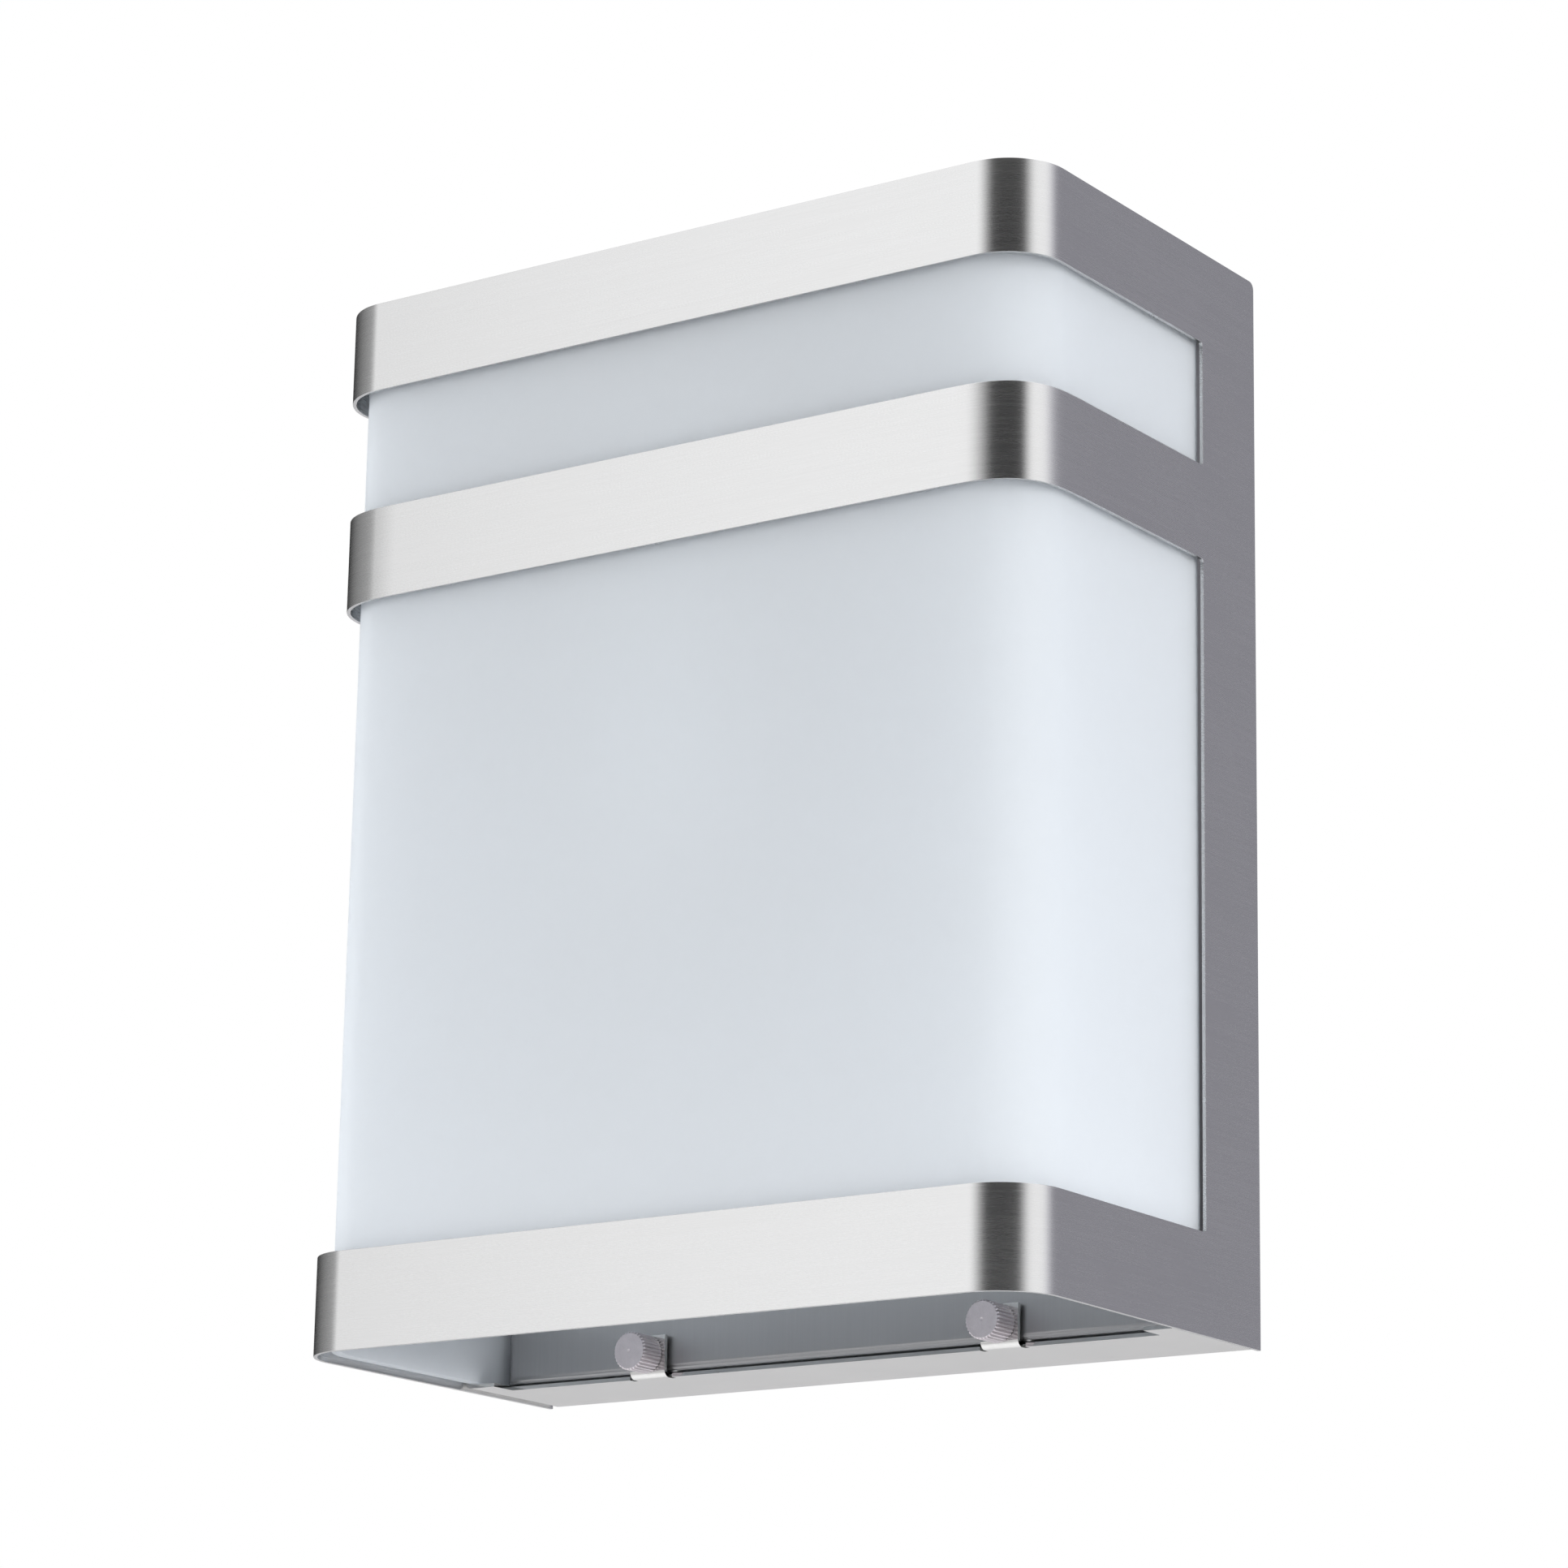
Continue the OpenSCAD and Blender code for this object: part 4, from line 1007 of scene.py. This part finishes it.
@dataclass
class Shade:
    """The folded steel shade, with its windows, and the diffuser behind them."""

    sheet: float = 1.0
    corner: float = 16.0
    waist_corner: float = 25.0
    waist_power: float = 3.0
    corner_steps: int = 20
    small_steps: int = 5
    window_rear: float = 26.5
    window_corner: float = 1.0
    rear_corner: float = 2.0
    diffuser_thickness: float = 3.0
    diffuser_corner: float = 18.0
    edge: float = 0.12
    diffuser_edge: float = 0.3
    windows: tuple[Pair, Pair] = ((25.5, 197.5), (222.5, 255.5))

    def build(self) -> None:
        """Builds the shell, the diffuser and what is fixed to them."""
        self.shell()
        self.diffuser()
        self.fittings()

    def folded(self, low: Vector, high: Vector, rear: float, corner: float) -> Strip:
        """Folds a sheet round the front and both sides of a box.

        Args:
            low: the box's lowest corner.
            high: its highest corner.
            rear: how far the sheet's ends are from the wall.
            corner: the outer radius of the front corners.

        Returns:
            The folded strip.
        """
        straight = -low.y - corner - rear
        strip = Strip(Vector((high.x, -rear, low.z)), ALONG_Z * (high.z - low.z))
        strip.draw(ALONG_Y * -straight)
        strip.fold(Vector((high.x - corner, low.y + corner, 0)), ALONG_Z, -QUARTER_TURN, self.corner_steps)
        strip.draw(ALONG_X * (low.x - high.x + 2 * corner))
        strip.fold(Vector((low.x + corner, low.y + corner, 0)), ALONG_Z, -QUARTER_TURN, self.corner_steps)
        strip.draw(ALONG_Y * straight)
        return strip

    def soften_waist(self, mesh: Mesh, low: Vector, high: Vector) -> None:
        """Gives the middle band's corners a softer curve, which sets in earlier than an arc.

        Args:
            mesh: the folded sheet, cut at the windows' edges.
            low: its box's lowest corner.
            high: its box's highest corner.
        """
        bottom = low.z + self.windows[0][1] - WELD
        top = low.z + self.windows[1][0] + WELD
        power = self.waist_power
        for vert in mesh.verts:
            side = math.copysign(high.x, vert.co.x)
            across = self.corner - abs(side - vert.co.x)
            along = self.corner - (vert.co.y - low.y)
            if across < -WELD or along < -WELD or not bottom < vert.co.z < top:
                continue
            step_x = max(across / self.corner, 0.0) ** (1 / (power - 1))
            step_y = max(along / self.corner, 0.0) ** (1 / (power - 1))
            factor = self.waist_corner / (step_x**power + step_y**power) ** (1 / power)
            vert.co.x = math.copysign(high.x - self.waist_corner + step_x * factor, side)
            vert.co.y = low.y + self.waist_corner - step_y * factor

    def shell(self) -> None:
        """Builds the shell: the folded sheet with both windows cut through it."""
        low, high = box_mm("shade_shell")
        strip = self.folded(low, high, 0.0, self.corner)
        mesh = strip.mesh
        for level in self.levels():
            cut_at(mesh, Vector((0, 0, level)), ALONG_Z)
        cut_at(mesh, Vector((0, -self.window_rear, 0)), ALONG_Y)
        openings = [face for face in mesh.faces if self.in_window(face.calc_center_median())]
        bmesh.ops.delete(mesh, geom=openings, context="FACES")
        self.soften_waist(mesh, low, high)
        strip.thicken(self.sheet)
        window_corners = self.wall_edges(mesh, -self.window_rear, self.levels())
        round_edges(mesh, window_corners, self.window_corner, self.small_steps)
        upper_corners = self.wall_edges(mesh, high.y, [high.z])
        round_edges(mesh, upper_corners, self.rear_corner, self.small_steps)
        ease_creases(mesh, self.edge)
        finish_piece(mesh, "shell_sheet", BRUSHED_STAINLESS, "shade_shell")

    def levels(self) -> list[float]:
        """Gives the heights of the windows' edges, from the lowest up."""
        bottom = box_mm("shade_shell")[0].z
        return [bottom + level for window in self.windows for level in window]

    def in_window(self, place: Vector) -> bool:
        """Says whether a face's middle is in a window."""
        first, second, third, fourth = self.levels()
        return place.y < -self.window_rear and (first < place.z < second or third < place.z < fourth)

    @staticmethod
    def runs_across(edge: Edge) -> bool:
        """Says whether an edge runs through a side wall, along X."""
        step = edge.verts[1].co - edge.verts[0].co
        return abs(step.x) > WELD and abs(step.y) < WELD and abs(step.z) < WELD

    def wall_edges(self, mesh: Mesh, depth: float, levels: Sequence[float]) -> list[Edge]:
        """Gives the edges that run through the side walls at some places.

        Args:
            mesh: the closed shell.
            depth: where they are along Y.
            levels: the heights that they are at.

        Returns:
            The edges.
        """
        return [
            edge for edge in mesh.edges
            if self.runs_across(edge)
            and abs(edge.verts[0].co.y - depth) < WELD
            and any(abs(edge.verts[0].co.z - level) < WELD for level in levels)
        ]

    def diffuser(self) -> None:
        """Builds the opal sheet."""
        low, high = box_mm("diffuser")
        strip = self.folded(low, high, -high.y, self.diffuser_corner)
        mesh = strip.thicken(self.diffuser_thickness)
        ease_creases(mesh, self.diffuser_edge, 3)
        finish_piece(mesh, "diffuser_sheet", OPAL_ACRYLIC, "diffuser")

    def fittings(self) -> None:
        """Dresses the top plate, the flange and the small parts that are fixed to the shade."""
        dress(
            ("top_plate", FLAT_STAINLESS, self.edge),
            ("bottom_flange", BRIGHT_STAINLESS, self.edge),
            ("hanger_bracket", BRIGHT_STAINLESS, self.edge),
            ("diffuser_clips", BRIGHT_STAINLESS, self.edge),
            ("diffuser_pads", SILICONE, 0.25),
            ("clip_studs", THREAD_STEEL, 0.2),
            ("clip_nuts", ZINC_STEEL, 0.2),
        )


@dataclass
class BackPan:
    """The pan on the wall, with its seal and what holds it to the outlet box."""

    edge: float = 0.12

    def build(self) -> None:
        """Dresses the pan, its seal, the crossbar and their fasteners."""
        dress(
            ("mounting_pan", PAN_STEEL, self.edge),
            ("wall_seal", FOAM, 0.4),
            ("crossbar", ZINC_STEEL, 0.25),
            ("fixture_screws", ZINC_STEEL, 0.2),
            ("lock_nuts", ZINC_STEEL, 0.2),
            ("sealing_washers", BLACK_RUBBER, 0.3),
            ("cap_nuts", BRIGHT_STAINLESS, 0.25),
            ("rivet_nuts", ZINC_STEEL, 0.15),
        )


class Side(Enum):
    """Which side of the lantern a thumbscrew is on."""

    LEFT = "left"
    RIGHT = "right"


@dataclass
class Thumbscrew:
    """One thumbscrew: a knurled head on a threaded stud, along Y."""

    side: Side
    grooves: int = 32
    points_per_groove: int = 6
    groove_depth: float = 0.5
    groove_flank: float = 0.3
    chamfer: float = 0.45
    face_dish: float = 0.04
    mark_radius: float = 0.5
    mark_depth: float = 0.4
    pitch: float = 0.7
    thread_depth: float = 0.38

    def build(self) -> None:
        """Builds the head and the stud."""
        self.head()
        self.stud()

    def part(self, name: str) -> str:
        """Gives the full name of one of its parts."""
        return f"{self.side.value}_{name}"

    def head(self) -> None:
        """Builds the knurled head, with a turned face and the lathe's centre mark."""
        rear, radius, length = round_node(self.part("knob"), -ALONG_Y)
        stud, bore_radius, stud_length = round_node(self.part("stud"), -ALONG_Y)
        bore_depth = rear.y - stud.y + stud_length
        small = radius - self.chamfer
        outline = [
            (0, bore_depth), (bore_radius, bore_depth), (bore_radius, 0), (small, 0), (radius, self.chamfer),
            (radius, length - self.chamfer), (small, length), (small / 2, length - self.face_dish / 2),
            (self.mark_radius, length - self.face_dish),
            (0.8 * self.mark_radius, length - self.mark_depth / 4),
            (0, length - self.mark_depth),
        ]
        columns = self.grooves * self.points_per_groove
        mesh = turned_mesh(outline, rear, -ALONG_Y, columns)
        depths = {0: self.groove_depth, 1: self.groove_flank, self.points_per_groove - 1: self.groove_flank}
        for column, depth in depths.items():
            barrel = [
                vert for vert in mesh.verts
                if self.reach(vert, rear) > radius - WELD and self.column(vert, rear, columns) == column
            ]
            inwards = Vector((1 - depth / radius, 1, 1 - depth / radius))
            bmesh.ops.scale(mesh, vec=inwards, space=Matrix.Translation(-rear), verts=barrel)
        finish_piece(mesh, self.part("head"), KNOB_STEEL, self.part("knob"), smooth=28.0)

    @staticmethod
    def reach(vert: Vert, centre: Vector) -> float:
        """Gives a vertex's distance from the axis."""
        return math.hypot(vert.co.x - centre.x, vert.co.z - centre.z)

    def column(self, vert: Vert, centre: Vector, columns: int) -> int:
        """Gives a vertex's place within its groove, from 0 at the groove's middle."""
        angle = math.atan2(vert.co.z - centre.z, vert.co.x - centre.x)
        return round(angle / FULL_TURN * columns) % self.points_per_groove

    def stud(self) -> None:
        """Builds the threaded stud."""
        start, radius, length = round_node(self.part("stud"), -ALONG_Y)
        mesh = threaded_mesh(start, -ALONG_Y, length, radius, self.pitch, self.thread_depth)
        finish_piece(mesh, self.part("thread"), THREAD_STEEL, self.part("stud"), smooth=50.0)


@dataclass
class LampHolder:
    """The porcelain holder with its screw shell, contact, terminals and bracket."""

    def build(self) -> None:
        """Dresses the holder and what carries it."""
        dress(
            ("lamp_bracket", ZINC_STEEL, 0.15),
            ("bracket_rivets", BRIGHT_STAINLESS, 0.2),
            ("lamp_holder", PORCELAIN, 0.5),
            ("holder_screws", ZINC_STEEL, 0.2),
            ("holder_screw_shell", NICKEL_BRASS, 0.08),
            ("holder_contact", BRASS, 0.1),
            ("holder_terminals", BRASS, 0.15),
        )


@dataclass
class Lamp:
    """The screw-in lamp, round an upright axis."""

    wall: float = 1.5
    pole_reach: float = 3.0
    waist_draw: float = 0.25
    waist_bulge: float = 0.9
    waist_levels: Pair = (0.2, 0.6)
    collar_rim: float = 0.8
    collar_step: float = 0.5
    collar_lip: float = 1.4
    collar_round: float = 1.2
    ceiling: float = 1.0
    neck: float = 6.0
    neck_margin: float = 2.5
    neck_taper: float = 2.1
    shoulder: float = 2.2
    shoulder_round: float = 0.6
    base_pitch: float = 3.629
    base_ridge: float = 0.8
    base_steps: int = 48
    arc_steps: int = 20

    def build(self) -> None:
        """Builds the globe, the collar and the screw base, and dresses the rest."""
        self.globe()
        self.collar()
        self.base()
        dress(
            ("lamp_tip", BRASS, 0.3),
            ("lamp_insulator", BLACK_GLASS, 0.3),
            ("lamp_led_board", LED_BOARD, 0.1),
        )

    def dome(self, radius: float) -> list[Pair]:
        """Gives a quarter circle, from the axis below to the side."""
        angles = [QUARTER_TURN * step / self.arc_steps for step in range(self.arc_steps + 1)]
        return [(radius * math.sin(angle), -radius * math.cos(angle)) for angle in angles]

    def globe(self) -> None:
        """Builds the opal globe, open where the collar takes it."""
        bottom, radius, length = round_node("lamp_globe", ALONG_Z)
        end_radius = round_node("lamp_collar", ALONG_Z)[1]
        centre = bottom + ALONG_Z * radius
        top = length - radius
        waist = [
            (radius - self.waist_draw, top * self.waist_levels[0]),
            ((radius + end_radius) / 2 + self.waist_bulge, top * self.waist_levels[1]),
            (end_radius, top),
        ]
        outer = self.dome(radius) + waist
        inner = [
            (
                reach - self.wall * min(1.0, reach / self.pole_reach),
                along + self.wall * max(0.0, -along / radius),
            )
            for reach, along in outer
        ]
        mesh = turned_mesh(outer + inner[::-1], centre, ALONG_Z)
        finish_piece(mesh, "globe_shell", OPAL_GLOBE, "lamp_globe", smooth=50.0)

    def collar(self) -> None:
        """Builds the plastic collar between the globe and the base."""
        centre, radius, length = round_node("lamp_collar", ALONG_Z)
        neck = round_node("lamp_screw_base", ALONG_Z)[1] + self.neck_margin
        ceiling = length - self.neck - self.ceiling
        outer = [
            (radius, 0), (radius, self.collar_rim), (radius - self.collar_step, self.collar_lip),
            (neck, length - self.neck), (neck - self.neck_taper, length), (0, length),
        ]
        inner = [
            (0, ceiling), (neck - self.wall, ceiling), (neck - self.wall, 2 * self.collar_rim),
            (radius - self.wall, 2 * self.collar_rim), (radius - self.wall, 0), (radius, 0),
        ]
        mesh = turned_mesh(smooth_outline(outer, self.collar_round) + inner, centre, ALONG_Z)
        finish_piece(mesh, "collar_shell", WHITE_PLASTIC, "lamp_collar")

    def base(self) -> None:
        """Builds the lamp's screw base, with a plain shoulder over its thread."""
        centre, radius, length = round_node("lamp_screw_base", ALONG_Z)
        end = round_node("lamp_insulator", ALONG_Z)[1]
        thread_l = length - self.shoulder
        form, pitch, ridge, steps = ThreadForm.WAVE, self.base_pitch, self.base_ridge, self.base_steps
        mesh = threaded_mesh(centre, ALONG_Z, thread_l, radius, pitch, ridge, form, steps)
        outline = [(0, thread_l), (radius - ridge, thread_l), (end, length), (0, length)]
        shoulder = turned_mesh(smooth_outline(outline, self.shoulder_round), centre, ALONG_Z, steps)
        rim = bpy.data.meshes.new("base_shoulder")
        shoulder.to_mesh(rim)
        shoulder.free()
        mesh.from_mesh(rim)
        bpy.data.meshes.remove(rim)
        finish_piece(mesh, "base_shell", NICKEL_BRASS, "lamp_screw_base", smooth=50.0)


@dataclass
class Wiring:
    """The leads inside, with their terminals."""

    smoothing: int = 2

    def build(self) -> None:
        """Builds the leads and dresses what they join."""
        self.lead("live_lead", BLACK_INSULATION)
        self.lead("neutral_lead", WHITE_INSULATION)
        self.lead("earth_lead", GREEN_INSULATION)
        dress(
            ("lead_grommet", BLACK_RUBBER, 0.3),
            ("terminal_block", NYLON, 0.4),
            ("terminal_screws", BRASS, 0.15),
            ("block_screws", ZINC_STEEL, 0.2),
            ("earth_ring", NICKEL_BRASS, 0.12),
            ("earth_screw", GREEN_STEEL, 0.2),
        )

    def lead(self, node: str, finish: Finish) -> None:
        """Builds a lead: a smoothed copy of its CAD node.

        Args:
            node: the node.
            finish: the lead's insulation.
        """
        piece = finish_piece(node_mesh(node), f"{node}_piece", finish, node, smooth=60.0)
        piece.modifiers.clear()
        smooth = piece.modifiers.new("round", "SUBSURF")
        smooth.levels = self.smoothing
        smooth.render_levels = self.smoothing


# The studio


@dataclass(frozen=True)
class SoftLamp:
    """A large soft lamp, turned to the lantern: its place in metres and its power in watts."""

    name: str
    place: Point
    power: float


@dataclass(frozen=True)
class Lobe:
    """A soft patch of the studio's surroundings, by its direction from the lantern.

    Azimuth is 0 in front of the lantern and 90 on its right, in degrees. The patch comes up between
    the two values of rise and goes out between those of fall.
    """

    rise: Pair
    fall: Pair
    light: float


@dataclass
class Studio:
    """The camera, the floor, the lamps and the plain surroundings."""

    sensor: float = 36.0
    clip_end: float = 100.0
    lens: float = 116.57
    azimuth: float = 34.938
    elevation: float = -15.017
    roll: float = 1.023
    distance: float = 1375.948
    target: Point = (-36.508, 0.0, 25.081)
    floor_z: float = -1500.0
    floor_half: float = 12000.0
    base_light: float = 0.02
    overhead_light: float = 1.1
    ground_light: float = 0.6
    overhead: Pair = (0.5, 1.0)
    horizon: Pair = (-0.13, -0.08)
    side_tint: Colour = (0.945, 0.933, 1.04)
    tinted_from: Pair = (100.0, 130.0)
    lamp_colour: Colour = (0.97, 0.985, 1.0)
    lamp_width: float = 1.2
    lamp_height: float = 1.6
    soft_lamps: tuple[SoftLamp, ...] = (
        SoftLamp("key", (1.9, -0.5, 0.4), 33.0),
        SoftLamp("fill", (-1.0, -1.7, 0.3), 14.5),
        SoftLamp("left", (-1.9, -0.15, 0.2), 36.0),
    )
    lobes: tuple[Lobe, ...] = (
        Lobe((-130.0, -45.0), (-28.0, 6.0), 0.42),
        Lobe((-52.0, -38.0), (-28.0, 6.0), 0.96),
        Lobe((56.0, 82.0), (102.0, 130.0), 1.26),
        Lobe((102.0, 130.0), (176.0, 200.0), 0.345),
    )

    def build(self) -> None:
        """Builds the studio."""
        self.camera()
        self.floor()
        self.surroundings()
        self.lamps()
        bpy.context.scene.view_settings.view_transform = "Standard"

    def camera(self) -> None:
        """Makes the camera and sets it."""
        data = bpy.data.cameras.new("camera")
        data.lens = self.lens
        data.sensor_width = self.sensor
        data.clip_end = self.clip_end
        camera = bpy.data.objects.new("camera", data)
        bpy.context.scene.collection.objects.link(camera)
        azimuth, elevation = math.radians(self.azimuth), math.radians(self.elevation)
        back = Vector((math.sin(azimuth), -math.cos(azimuth), 0)) * math.cos(elevation)
        back.z = math.sin(elevation)
        roll = Matrix.Rotation(math.radians(self.roll), 4, "Z")
        place = Matrix.Translation((Vector(self.target) + back * self.distance) * MM)
        camera.matrix_world = place @ back.to_track_quat("Z", "Y").to_matrix().to_4x4() @ roll
        bpy.context.scene.camera = camera

    def floor(self) -> None:
        """Lays the plain pale floor."""
        mesh = bmesh.new()
        bmesh.ops.create_grid(mesh, x_segments=8, y_segments=8, size=self.floor_half * MM)
        bmesh.ops.translate(mesh, vec=Vector((0, 0, self.floor_z * MM)), verts=mesh.verts[:])
        data = bpy.data.meshes.new("floor")
        mesh.to_mesh(data)
        mesh.free()
        data.materials.append(PALE_FLOOR.material())
        floor = bpy.data.objects.new("floor", data)
        bpy.context.scene.collection.objects.link(floor)

    def surroundings(self) -> None:
        """Makes the world: white where the camera sees it, and a soft studio for light and reflections."""
        world = bpy.data.worlds.new("studio")
        bpy.context.scene.world = world
        world.use_nodes = True
        world.node_tree.nodes.clear()
        graph = Graph(world.node_tree)
        side, deep, up = graph.axes(graph.add("ShaderNodeTexCoord", output="Generated"))
        azimuth = graph.maths("ARCTAN2", side, deep * -1.0) * (360 / FULL_TURN)
        light = up.rise(*self.overhead) * self.overhead_light + self.base_light
        for lobe in self.lobes:
            light = light + (azimuth.rise(*lobe.rise) - azimuth.rise(*lobe.fall)) * lobe.light
        above = up.rise(*self.horizon)
        light = light * above + (1.0 - above) * self.ground_light
        path = graph.add("ShaderNodeLightPath", output="Is Camera Ray")
        tint = graph.blend((1, 1, 1), self.side_tint, azimuth.rise(*self.tinted_from))
        around = graph.add("ShaderNodeBackground", values={"Color": tint, "Strength": light})
        white = graph.add("ShaderNodeBackground", values={"Color": (1, 1, 1), "Strength": 1.0})
        mixed = graph.add("ShaderNodeMixShader", values={0: path, 1: around, 2: white})
        graph.add("ShaderNodeOutputWorld", values={"Surface": mixed})

    def lamps(self) -> None:
        """Hangs the soft lamps, which light the lantern but aren't mirrored in its metal."""
        for lamp in self.soft_lamps:
            data = bpy.data.lights.new(lamp.name, "AREA")
            data.shape = "RECTANGLE"
            data.size = self.lamp_width
            data.size_y = self.lamp_height
            data.energy = lamp.power
            data.color = self.lamp_colour
            light = bpy.data.objects.new(lamp.name, data)
            bpy.context.scene.collection.objects.link(light)
            place = Vector(lamp.place)
            turn = place.to_track_quat("Z", "Y").to_matrix().to_4x4()
            light.matrix_world = Matrix.Translation(place) @ turn
            light.visible_camera = False
            light.visible_glossy = False


def main() -> None:
    """Builds the studio and the lantern's sub-assemblies, in order."""
    logging.basicConfig(level=logging.INFO, format="%(name)s: %(message)s")
    Studio().build()
    assemblies = [Shade(), BackPan(), *map(Thumbscrew, Side), LampHolder(), Lamp(), Wiring()]
    for assembly in assemblies:
        before = set(bpy.data.objects)
        assembly.build()
        for piece in sorted(set(bpy.data.objects) - before, key=lambda item: item.name):
            log.info("%s: %s, %d faces", type(assembly).__name__, piece.name, len(piece.data.polygons))


if __name__ == "__main__":
    main()
